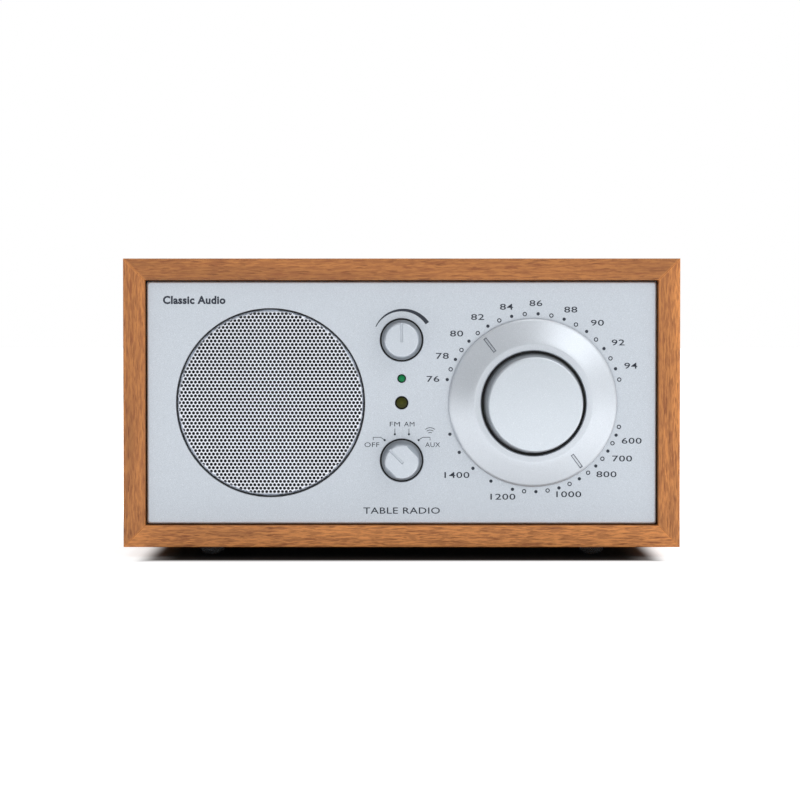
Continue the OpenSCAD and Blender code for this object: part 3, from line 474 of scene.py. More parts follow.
@dataclass(frozen=True)
class LampLens(Finish):
    """A coloured lens: a painted highlight lighter at its middle, painted shade dark at its rim, glowing
    faintly when that is asked.
    """

    node: str = "power_led"
    # The rim colour is painted shade round the lens's edge.
    rim: Rgb = (0, 0, 0)
    glow: float = 0

    def lay(self, sheet: NodeSheet) -> None:
        """Lays the lens."""
        middle = middle_of(self.node)
        across, _, up = sheet.parts(sheet.stretched((1, 1, 1), tuple(middle)))
        out = (across * across + up * up) ** 0.5
        reach = span_of(self.node).x / 2 - LENS_FLANGE * MM
        # Painted shade darkens the rim; a painted highlight lightens the middle.
        edge = sheet.fade(out, 0.70 * reach, 0.95 * reach)
        haze = sheet.noise(1500, 2, 0.5)
        painted_centre_highlight = sheet.mix(sheet.fade(out, 0.05 * reach, 0.5 * reach), self.shade(1.5), self.shade(1.0))
        tone = sheet.mix(edge, sheet.mix(0.3 * haze, painted_centre_highlight, self.shade(1.3)), self.rim)
        sheet.feed(Base_Color=tone, Roughness=0.10 + 0.06 * haze, Specular_IOR_Level=0.14,
                   Emission_Color=tone, Emission_Strength=self.glow)


@dataclass(frozen=True)
class Ink(Finish):
    """Screen-printed ink, slightly uneven."""

    def lay(self, sheet: NodeSheet) -> None:
        """Lays the ink."""
        film = sheet.noise(2500, 3, 0.6)
        tone = sheet.mix(film, self.shade(0.8), self.shade(1.3))
        sheet.feed(Base_Color=tone, Roughness=0.45 + 0.15 * film)


@dataclass(frozen=True)
class PressedPaper(Finish):
    """Felted paper or card, with its fibres."""

    fibre: float = 900
    deep: float = 0.06

    def lay(self, sheet: NodeSheet) -> None:
        """Lays the paper."""
        pulp = sheet.noise(self.fibre, 4, 0.7, None, 1.2)
        specks = sheet.fade(sheet.noise(self.fibre * 2.2, 1, 0.5), 0.62, 0.72)
        tone = sheet.mix(pulp, self.shade(0.75), self.shade(1.3))
        tone = sheet.mix(0.4 * specks, tone, self.shade(0.5))
        sheet.feed(Base_Color=tone, Roughness=0.82 + 0.1 * pulp, Sheen_Weight=0.15)
        sheet.relief(pulp, self.deep, 0.7)


@dataclass(frozen=True)
class Cloth(Finish):
    """Woven or knitted threads that cross in the panel's plane."""

    pitch: float = 0.5
    deep: float = 0.08

    def lay(self, sheet: NodeSheet) -> None:
        """Lays the cloth."""
        point = sheet.stretched((1, 1, 1))
        warp = sheet.waves(1000 / self.pitch, point, 0.3, "X")
        weft = sheet.waves(1000 / self.pitch, point, 0.3, "Z")
        over = (warp * weft).most(warp * 0.4).most(weft * 0.4)
        tone = sheet.mix(over, self.shade(0.45), self.shade(1.25))
        sheet.feed(Base_Color=tone, Roughness=0.8 + 0.1 * over, Sheen_Weight=0.3)
        sheet.relief(over, self.deep, 0.8)


@dataclass(frozen=True)
class Foam(Finish):
    """Foamed rubber with a closed, pitted skin."""

    def lay(self, sheet: NodeSheet) -> None:
        """Lays the foam."""
        pits = sheet.cells(1600)
        tone = sheet.mix(sheet.fade(pits, 0.1, 0.6), self.shade(0.5), self.shade(1.4))
        sheet.feed(Base_Color=tone, Roughness=0.7 + 0.2 * pits)
        sheet.relief(pits, 0.08, 0.6)


@dataclass(frozen=True)
class Stone(Finish):
    """Pressed ferrite: grey-black, with grains and chips."""

    def lay(self, sheet: NodeSheet) -> None:
        """Lays the ferrite."""
        grains = sheet.cells(1300)
        patches = sheet.noise(140, 4, 0.65)
        tone = sheet.mix(patches, self.shade(0.75), self.shade(1.35))
        sheet.feed(Base_Color=tone, Roughness=0.5 + 0.2 * patches, Metallic=0.1)
        sheet.relief(grains * 0.4 + patches, 0.05, 0.6)


@dataclass(frozen=True)
class Windings(Finish):
    """Turns of fine wire laid side by side across one axis."""

    pitch: float = 0.35
    across: str = "X"
    tape: Rgb | None = None

    def lay(self, sheet: NodeSheet) -> None:
        """Lays the turns."""
        turns = sheet.waves(1000 / self.pitch, sheet.stretched((1, 1, 1)), 0.4, self.across)
        wear_and_painted_shade = sheet.noise(300, 3, 0.5)
        tone = sheet.mix(turns, self.shade(0.35), self.shade(1.15))
        tone = sheet.mix(0.5 * sheet.fade(wear_and_painted_shade, 0.5, 0.8), tone, self.tape or self.shade(0.7))
        metal = 0.0 if self.tape else 0.75
        sheet.feed(Base_Color=tone, Metallic=metal, Roughness=0.35 + 0.2 * wear_and_painted_shade)
        sheet.relief(turns, 0.1, 0.8)


@dataclass(frozen=True)
class Laminations(Finish):
    """Steel sheets stacked along one axis, with rust along their edges."""

    sheet_pitch: float = 0.5
    across: str = "Y"
    rust_brown: Rgb = paint(104, 66, 42)

    def lay(self, sheet: NodeSheet) -> None:
        """Lays the stack."""
        edges = sheet.waves(1000 / self.sheet_pitch, sheet.stretched((1, 1, 1)), 0.2, self.across)
        rust = sheet.fade(sheet.noise(180, 4, 0.7), 0.5, 0.75)
        tone = sheet.mix(edges, self.shade(0.5), self.shade(1.1))
        tone = sheet.mix(0.35 * rust, tone, self.rust_brown)
        sheet.feed(Base_Color=tone, Metallic=0.8 - 0.5 * rust, Roughness=0.45 + 0.3 * rust)
        sheet.relief(edges, 0.06, 0.7)


@dataclass(frozen=True)
class CircuitBoard(Finish):
    """Solder-masked board with tracks that show through the mask."""

    def lay(self, sheet: NodeSheet) -> None:
        """Lays the board."""
        tracks = sheet.fade(abs(sheet.cells(190, 0.85, "MANHATTAN") - 0.35), 0.02, 0.06)
        weave = sheet.waves(1800, sheet.stretched((1, 1, 1), turn=(0, 0, math.pi / 4)), 0.2)
        tone = sheet.mix(tracks, self.shade(1.7), self.colour)
        tone = sheet.mix(0.12 * weave, tone, self.shade(0.6))
        sheet.feed(Base_Color=tone, Roughness=0.3 + 0.1 * weave, Coat_Weight=0.3)
        sheet.relief(1 - tracks, 0.03, 0.6)


@dataclass(frozen=True)
class SawnWood(Finish):
    """Pale softwood with its rings and saw marks."""

    along: Place = (1, 0.05, 1)

    def lay(self, sheet: NodeSheet) -> None:
        """Lays the wood."""
        rings = sheet.noise(260, 3, 0.6, sheet.stretched(self.along), 0.8)
        fibres = sheet.noise(2200, 2, 0.6, sheet.stretched(self.along))
        tone = sheet.mix(sheet.fade(rings, 0.35, 0.65), self.shade(1.1), self.shade(0.72))
        tone = sheet.mix(0.2 * fibres, tone, self.shade(0.55))
        sheet.feed(Base_Color=tone, Roughness=0.7 + 0.15 * fibres)
        sheet.relief(fibres, 0.05, 0.6)


# ---------- shapes ----------


class Corner(NamedTuple):
    """A corner of a turned profile, in millimetres."""

    radius: float
    deep: float
    fillet: float = 0


class Shape:
    """A mesh in the making. Its lengths come in millimetres and its places in metres."""

    def __init__(self) -> None:
        """Starts with nothing."""
        self.mesh = bmesh.new()

    @classmethod
    def spun(cls, corners: Sequence[Corner], steps: int = 128, wall: float = 0,
             rounds: int = 5) -> "Shape":
        """Turns a profile round the Y axis.

        Args:
            corners: The profile, from its first corner to its last.
            steps: How many sides the turned shape has.
            wall: The thickness that an open profile gets, or 0 when it closes on itself or on the axis.
            rounds: How many faces each fillet has.

        Returns:
            The shape, its axis through the origin.
        """
        shape = cls()
        bm = shape.mesh
        points = [bm.verts.new((c.radius * MM, c.deep * MM, 0)) for c in corners]
        for first, second in zip(points, points[1:]):
            bm.edges.new((first, second))
        if not wall and corners[0].radius > 0 and corners[-1].radius > 0:
            bm.edges.new((points[-1], points[0]))
        for point, corner in zip(points, corners):
            if corner.fillet:
                bmesh.ops.bevel(bm, geom=[point], offset=corner.fillet * MM, offset_type="OFFSET",
                                affect="VERTICES", segments=rounds, profile=0.5, material=-1)
        bmesh.ops.spin(bm, geom=bm.verts[:] + bm.edges[:], cent=(0, 0, 0), axis=(0, 1, 0), dvec=(0, 0, 0),
                       angle=math.tau, steps=steps, use_merge=True)
        shape.weld()
        if wall:
            bmesh.ops.solidify(bm, geom=bm.faces[:], thickness=wall * MM)
            shape.weld()
        return shape

    @classmethod
    def block(cls, size: Sequence[float], edge: float = 0) -> "Shape":
        """Makes a block, its middle on the origin.

        Args:
            size: Its three sizes in metres.
            edge: The radius of its edges in millimetres.

        Returns:
            The shape.
        """
        shape = cls()
        bmesh.ops.create_cube(shape.mesh, size=1)
        bmesh.ops.scale(shape.mesh, vec=size, verts=shape.mesh.verts)
        if edge:
            shape.ease(shape.mesh.edges[:], edge)
        return shape

    @classmethod
    def rod(cls, radius: float, length: float, sides: int) -> "Shape":
        """Makes a rod along Y, its middle on the origin, from millimetres.

        Args:
            radius: Its radius.
            length: Its length.
            sides: How many sides it has.

        Returns:
            The shape.
        """
        shape = cls()
        turn = Matrix.Rotation(math.pi / 2, 3, "X")
        bmesh.ops.create_cone(shape.mesh, cap_ends=True, segments=sides, radius1=radius * MM,
                              radius2=radius * MM, depth=length * MM)
        bmesh.ops.rotate(shape.mesh, cent=(0, 0, 0), matrix=turn, verts=shape.mesh.verts)
        return shape

    @classmethod
    def copy_of(cls, node: str, edge: float = 0, rounds: int = 2, sharp: float = 35) -> "Shape":
        """Copies a CAD node's mesh, joins its loose triangles and eases its edges.

        Args:
            node: The CAD node.
            edge: The radius of the edges in millimetres, or 0 to leave them.
            rounds: How many faces each edge gets.
            sharp: The angle in degrees past which an edge counts as one.

        Returns:
            The shape.
        """
        shape = cls()
        bm = shape.mesh
        bm.from_mesh(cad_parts[node].data)
        bmesh.ops.remove_doubles(bm, verts=bm.verts, dist=0.002 * MM)
        bmesh.ops.dissolve_degenerate(bm, dist=0.001 * MM, edges=bm.edges)
        bmesh.ops.dissolve_limit(bm, angle_limit=math.radians(1.5), verts=bm.verts, edges=bm.edges)
        if edge:
            limit = math.radians(sharp)
            shape.ease([e for e in bm.edges if e.is_manifold and e.calc_face_angle() > limit], edge, rounds)
        return shape

    def ease(self, edges: Sequence[bmesh.types.BMEdge], radius: float, rounds: int = 3) -> None:
        """Rounds edges.

        Args:
            edges: The edges.
            radius: Their radius in millimetres.
            rounds: How many faces each gets.
        """
        bmesh.ops.bevel(self.mesh, geom=edges, offset=radius * MM, offset_type="OFFSET", affect="EDGES",
                        segments=rounds, profile=0.5, material=-1, clamp_overlap=True)

    def weld(self) -> None:
        """Closes poles and seams, and turns the faces outwards."""
        bmesh.ops.remove_doubles(self.mesh, verts=self.mesh.verts, dist=TINY)
        bmesh.ops.dissolve_degenerate(self.mesh, dist=TINY / 10, edges=self.mesh.edges)
        bmesh.ops.recalc_face_normals(self.mesh, faces=self.mesh.faces)

    def move(self, to: Iterable[float], turn: float = 0, axis: str = "Y") -> "Shape":
        """Turns the shape about an axis through the origin, in degrees, then moves it in metres."""
        bmesh.ops.rotate(self.mesh, cent=(0, 0, 0), matrix=Matrix.Rotation(math.radians(turn), 3, axis),
                         verts=self.mesh.verts)
        bmesh.ops.translate(self.mesh, vec=Vector(to), verts=self.mesh.verts)
        return self

    def join(self, other: "Shape") -> "Shape":
        """Takes another shape's mesh into this one."""
        spare = bpy.data.meshes.new("spare")
        other.mesh.to_mesh(spare)
        self.mesh.from_mesh(spare)
        bpy.data.meshes.remove(spare)
        other.mesh.free()
        return self

    def cut(self, *cutters: "Shape") -> "Shape":
        """Takes other shapes' bodies away from this one.

        Args:
            cutters: Closed shapes, which are used up.

        Returns:
            This shape.
        """
        bodies = [self.to_object("work")]
        for cutter in cutters:
            bodies.append(cutter.to_object("cutter"))
            step = bodies[0].modifiers.new("cut", "BOOLEAN")
            step.operation, step.solver, step.object = "DIFFERENCE", "EXACT", bodies[-1]
        solved = bodies[0].evaluated_get(bpy.context.evaluated_depsgraph_get())
        result = bpy.data.meshes.new_from_object(solved)
        self.mesh = bmesh.new()
        self.mesh.from_mesh(result)
        for body in bodies:
            bpy.data.meshes.remove(body.data)
        bpy.data.meshes.remove(result)
        return self

    def to_object(self, name: str) -> bpy.types.Object:
        """Puts the mesh in a new object in the scene, and lets it go."""
        mesh = bpy.data.meshes.new(name)
        self.mesh.to_mesh(mesh)
        self.mesh.free()
        made = bpy.data.objects.new(name, mesh)
        bpy.context.scene.collection.objects.link(made)
        return made

    def finish(self, name: str, finish: Finish, body: str, nodes: Sequence[str] = (), sharp: float = 32,
               rides: bool = True) -> bpy.types.Object:
        """Makes the shape a piece of the radio.

        Args:
            name: The piece's name.
            finish: What it is covered in.
            body: The CAD body that it rides on.
            nodes: The CAD nodes that it stands for.
            sharp: The angle in degrees past which an edge looks sharp.
            rides: False to leave it unattached to its body.

        Returns:
            The piece.
        """
        piece = self.to_object(name)
        piece.data.shade_smooth()
        piece.data.set_sharp_from_angle(angle=math.radians(sharp))
        piece.data.materials.append(finish.material)
        even = piece.modifiers.new("even_normals", "WEIGHTED_NORMAL")
        even.keep_sharp = True
        if nodes:
            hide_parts(*nodes)
        if rides:
            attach(piece, body)
        log.info("%s: %d faces on %s", name, len(piece.data.polygons), body)
        return piece


def dress(finish: Finish, *nodes: str) -> None:
    """Covers CAD nodes in a finish, their meshes as they are."""
    for node in nodes:
        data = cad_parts[node].data
        data.materials.clear()
        data.materials.append(finish.material)
        log.info("%s: dressed in %s", node, finish.name)


# ---------- the radio's finishes ----------

CABINET_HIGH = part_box("cabinet_top")[1]
CABINET_LOW = Vector((*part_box("cabinet_top")[0].xy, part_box("cabinet_bottom")[0].z))
CABINET_MIDDLE = (CABINET_LOW + CABINET_HIGH) / 2
CABINET_HALF = (CABINET_HIGH - CABINET_LOW) / 2

CHERRY = paint(176, 114, 60)
# Painted light: one veneer in lit and shaded copies, the top darkest, the left a little dark, the bottom and
# the right side lightest.
CHERRY_TOP = CherryVeneer("cherry_top", "cherry", CHERRY, brighter=0.78)
CHERRY_BOTTOM = CherryVeneer("cherry_bottom", "cherry", CHERRY, brighter=1.32)
CHERRY_LEFT = CherryVeneer("cherry_left", "cherry", CHERRY, Grain.UPRIGHT, 0.94)
CHERRY_RIGHT = CherryVeneer("cherry_right", "cherry", CHERRY, Grain.UPRIGHT, 1.34)
SOFTWOOD = SawnWood("softwood", "softwood", paint(214, 180, 132))
PANEL_SILVER = SilverPaint("panel_silver", "silver_paint", paint(187, 194, 202))
# Both knob finishes paint shade down the knob's side.
KNOB_SILVER = KnobPaint("knob_silver", "silver_paint", paint(193, 200, 207))
SMALL_SILVER = KnobPaint("small_silver", "silver_paint", paint(185, 192, 200), node="volume_knob", flank_shade=0.85)
DIAL_SILVER = SilverPaint("dial_silver", "silver_paint", paint(199, 205, 212), roughness=0.36, metal=0.6,
                          flake=0.06)
GRILLE_STEEL = Metal("grille_steel", "grille_steel", (0.74, 0.77, 0.83), roughness=0.34, marks=0.05)
BLACK = MouldedPlastic("black_plastic", "black_plastic", paint(36, 36, 38))
REAR_BLACK = MouldedPlastic("rear_black", "black_plastic", paint(44, 44, 46), roughness=0.55, texture=650,
                            deep=0.05)
COMPONENT = MouldedPlastic("component_black", "component_black", paint(30, 30, 33), roughness=0.35)
ACETAL = MouldedPlastic("acetal", "acetal", paint(232, 228, 214), roughness=0.38, texture=300, deep=0.01)
NYLON = MouldedPlastic("white_nylon", "white_nylon", paint(222, 220, 212), roughness=0.4, texture=300,
                       deep=0.01)
LEAD_RED = MouldedPlastic("lead_red", "lead_red", paint(150, 28, 24), roughness=0.4, texture=400, deep=0.01)
CLEAR_FOOT = ClearRubber("clear_silicone", "silicone", paint(150, 154, 158))
# Each lens has a painted highlight at its middle and painted shade at its rim; the green one also glows
# faintly as a lit lamp.
GREEN_LENS = LampLens("green_lens", "led_green", paint(8, 104, 58), "power_led", paint(4, 16, 12), 0.03)
AMBER_LENS = LampLens("amber_lens", "led_amber", paint(48, 50, 4), "tuning_led", paint(8, 8, 5), 0.0)
INK = Ink("panel_ink", "silver_paint", paint(26, 34, 48))
# Painted shade: the dark lines round the dial's sunken marks.
MARK_SHADE_INK = Ink("mark_shade_ink", "silver_paint", paint(74, 80, 90))
REAR_INK = Ink("rear_ink", "black_plastic", paint(205, 205, 200))
ZINC = Metal("zinc_steel", "zinc_steel", (0.60, 0.60, 0.57), roughness=0.36)
FRAME_PAINT = SilverPaint("frame_paint", "frame_paint", paint(64, 66, 70), roughness=0.45, metal=0.3)
ALUMINIUM = Metal("aluminium", "aluminium", (0.78, 0.79, 0.80), roughness=0.34, brushed=(1, 0.05, 1))
NICKEL = Metal("nickel", "nickel", (0.70, 0.68, 0.63), roughness=0.22, marks=0.05)
BRASS = Metal("plated_brass", "plated_brass", (0.83, 0.67, 0.36), roughness=0.26)
COPPER = Windings("copper_turns", "copper", (0.62, 0.27, 0.13), 0.3, "Y")
AERIAL_TURNS = Windings("aerial_turns", "copper", (0.55, 0.25, 0.12), 0.5, "X")
COIL_TAPE = Windings("coil_tape", "copper", paint(196, 150, 62), 0.8, "Z", paint(206, 168, 84))
FERRITE = Stone("ferrite", "ferrite", paint(52, 50, 50))
CONE_PAPER = PressedPaper("cone_paper", "cone_paper", paint(38, 36, 35))
FELT = PressedPaper("felt", "felt", paint(58, 58, 60), 1400, 0.12)
FOAM = Foam("foam_rubber", "foam_rubber", paint(38, 38, 40))
SPIDER = Cloth("spider_cloth", "spider_cloth", paint(196, 150, 72))
BOARD = CircuitBoard("board_green", "board_green", paint(26, 78, 46))
STACK = Laminations("lamination", "lamination", (0.30, 0.30, 0.31))


# ---------- cabinet ----------


@dataclass
class Cabinet:
    """Four mitred boards, the blocks inside, the port under the box and the feet."""

    ease: float = 0.45
    joint: float = 0.10
    port_wall: float = 2.0
    port_lip: float = 0.9

    def build(self) -> None:
        """Builds the boards, the feet and the port, and dresses the blocks."""
        side = span_of("cabinet_left").x
        flat = span_of("cabinet_top").z
        self.board("cabinet_top", "board_top", CHERRY_TOP, "z", -1, side)
        self.board("cabinet_bottom", "board_bottom", CHERRY_BOTTOM, "z", 1, side)
        self.board("cabinet_left", "board_left", CHERRY_LEFT, "x", 1, flat)
        self.board("cabinet_right", "board_right", CHERRY_RIGHT, "x", -1, flat)
        dress(SOFTWOOD, "glue_blocks")
        self.feet()
        self.port()

    def board(self, node: str, name: str, finish: Finish, thin: str, inward: int, mitre: float) -> None:
        """Builds one board with mitred ends and eased edges.

        Args:
            node: The CAD board.
            name: The piece's name.
            finish: Its veneer.
            thin: The axis that it is thin along.
            inward: The way to the box's inside along that axis.
            mitre: How much shorter each end is on the inside, in metres.
        """
        shape = Shape.block(span_of(node))
        long = "x" if thin == "z" else "z"
        for vert in shape.mesh.verts:
            if getattr(vert.co, thin) * inward > 0:
                setattr(vert.co, long, getattr(vert.co, long) - math.copysign(mitre, getattr(vert.co, long)))

        def runs(edge: bmesh.types.BMEdge) -> bool:
            """Tells whether an edge runs along the board."""
            return abs(getattr(edge.verts[0].co - edge.verts[1].co, long)) > mitre * 2

        shape.ease([e for e in shape.mesh.edges if not runs(e)], self.joint, 1)
        shape.ease([e for e in shape.mesh.edges if runs(e)], self.ease, 3)
        shape.move(middle_of(node))
        if node == "cabinet_bottom":
            port = middle_of("bass_port")
            hole = Shape.rod(span_of("bass_port").x / 2 / MM, 60, 96).move((0, 0, 0), 90, "X").move(port)
            shape.cut(hole)
        shape.finish(name, finish, "chassis", [node], sharp=28)

    def feet(self) -> None:
        """Builds the four clear domes."""
        low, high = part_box("feet")
        height = high.z - low.z
        shape = Shape()
        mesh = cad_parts["feet"].data
        near = [v.co for v in mesh.vertices if v.co.x > 0 and v.co.y < middle_of("feet").y]
        radius = (max(p.x for p in near) - min(p.x for p in near)) / 2
        x = (max(p.x for p in near) + min(p.x for p in near)) / 2
        profile = [Corner(0, 0), Corner(1.6, 0, 0.3)]
        for share in (0.2, 0.42, 0.64, 0.84):
            profile.append(Corner(radius / MM * math.sin(share * math.pi / 2) ** 0.8,
                                  height / MM * (1 - math.cos(share * math.pi / 2) ** 0.9)))
        profile += [Corner(radius / MM, height / MM), Corner(0, height / MM)]
        for side in (-1, 1):
            for y in (low.y + radius, high.y - radius):
                foot = Shape.spun(profile, 64)
                shape.join(foot.move((0, 0, 0), 90, "X").move((side * x, y, low.z)))
        shape.finish("clear_feet", CLEAR_FOOT, "chassis", ["feet"])

    def port(self) -> None:
        """Builds the port's tube with a rounded lip."""
        low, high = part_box("bass_port")
        outer = (high.x - low.x) / 2 / MM
        length = (high.z - low.z) / MM
        inner = outer - self.port_wall
        shape = Shape.spun([
            Corner(inner + self.port_lip, 0, 0.3), Corner(outer, 0, 0.3), Corner(outer, length, 0.3),
            Corner(inner, length, 0.3), Corner(inner, 1.6, 0.8),
        ], 96)
        shape.move((0, 0, 0), 90, "X").move(((low.x + high.x) / 2, (low.y + high.y) / 2, low.z))
        shape.finish("port_tube", BLACK, "chassis", ["bass_port"])


# ---------- front ----------


@dataclass
class FrontPanel:
    """The silver faceplate with its holes and rolled edges."""

    roll: float = 0.7
    corner: float = 1.2
    hole_roll: float = 0.15
    grille_gap: float = 0.6
    dial_hole: float = 6.5
    knob_hole: float = 8.35
    lamp_holes: tuple[float, float] = (1.65, 2.55)
    rolls: int = 4

    def build(self) -> None:
        """Builds the faceplate and dresses what is behind it."""
        low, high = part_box("faceplate")
        middle = (low + high) / 2
        half = (high - low) / 2
        shape = Shape()
        bm = shape.mesh
        outline = self.outline(bm, half)
        loops = [(outline, Vector((0, 0)), half.xz, self.roll)]
        for node, radius in self.holes():
            spot = (middle_of(node) - middle).xz
            rim = bmesh.ops.create_circle(bm, segments=96 if radius > 5 else 48,
                                          radius=(radius + self.hole_roll) * MM, cap_ends=False)["verts"]
            bmesh.ops.rotate(bm, cent=(0, 0, 0), matrix=Matrix.Rotation(math.pi / 2, 3, "X"), verts=rim)
            bmesh.ops.translate(bm, vec=(spot.x, 0, spot.y), verts=rim)
            edges = list({e for v in rim for e in v.link_edges})
            loops.append((edges, spot, Vector((radius * MM, radius * MM)), -self.hole_roll))
        bmesh.ops.triangle_fill(bm, edges=bm.edges[:], use_beauty=True)
        backs = [self.wall(bm, *loop, high.y - low.y) for loop in loops]
        bmesh.ops.triangle_fill(bm, edges=[e for ring in backs for e in ring], use_beauty=True)
        shape.weld()
        shape.move((middle.x, low.y, middle.z))
        shape.finish("front_panel", PANEL_SILVER, "chassis", ["faceplate"], sharp=25)
        dress(BLACK, "front_chassis")
        dress(FELT, "speaker_gasket")
        dress(ZINC, "chassis_screws")

    def holes(self) -> list[tuple[str, float]]:
        """Gives the CAD node in the middle of each hole, with the hole's radius."""
        grille = span_of("speaker_grille").x / 2 / MM + self.grille_gap
        return [("speaker_grille", grille), ("dial_hub", self.dial_hole), ("volume_knob", self.knob_hole),
                ("selector_shaft", self.knob_hole), ("power_led", self.lamp_holes[0]),
                ("tuning_led", self.lamp_holes[1])]

    def outline(self, bm: bmesh.types.BMesh, half: Vector) -> list[bmesh.types.BMEdge]:
        """Draws the panel's rounded outline, inside its rolled edge.

        Args:
            bm: The mesh that it is drawn in.
            half: Half of the panel's size.

        Returns:
            The outline's edges.
        """
        x, z = half.x - self.roll * MM, half.z - self.roll * MM
        points = [bm.verts.new((a * x, 0, b * z)) for a, b in ((-1, -1), (1, -1), (1, 1), (-1, 1))]
        for first, second in zip(points, points[1:] + points[:1]):
            bm.edges.new((first, second))
        bmesh.ops.bevel(bm, geom=points, offset=(self.corner - self.roll / 2) * MM, offset_type="OFFSET",
                        affect="VERTICES", segments=6, profile=0.5, material=-1)
        return bm.edges[:]

    def wall(self, bm: bmesh.types.BMesh, edges: list[bmesh.types.BMEdge], spot: Vector, half: Vector,
             roll: float, thick: float) -> list[bmesh.types.BMEdge]:
        """Rolls an outline over and takes it to the panel's back.

        Args:
            bm: The mesh.
            edges: The outline's edges.
            spot: Its middle, across and up.
            half: Half of its size once it is rolled over.
            roll: The edge's radius in millimetres, below 0 round a hole.
            thick: The panel's thickness in metres.

        Returns:
            The outline's edges at the back.
        """
        reach = half - Vector((roll * MM, roll * MM))
        steps = [(math.sin(a), 1 - math.cos(a)) for a in (math.pi / 2 * i / self.rolls
                                                           for i in range(1, self.rolls + 1))]
        now = reach
        deep = 0.0
        for out, down in [*steps, (1, thick / abs(roll * MM))]:
            goal = reach + Vector((roll * MM, roll * MM)) * out
            made = bmesh.ops.extrude_edge_only(bm, edges=edges)["geom"]
            verts = [g for g in made if isinstance(g, bmesh.types.BMVert)]
            edges = [g for g in made
                     if isinstance(g, bmesh.types.BMEdge) and all(v in verts for v in g.verts)]
            about = Matrix.Translation((-spot.x, 0, -spot.y))
            bmesh.ops.scale(bm, vec=(goal.x / now.x, 1, goal.y / now.y), space=about, verts=verts)
            bmesh.ops.translate(bm, vec=(0, down * abs(roll * MM) - deep, 0), verts=verts)
            now = goal
            deep = down * abs(roll * MM)
        return edges


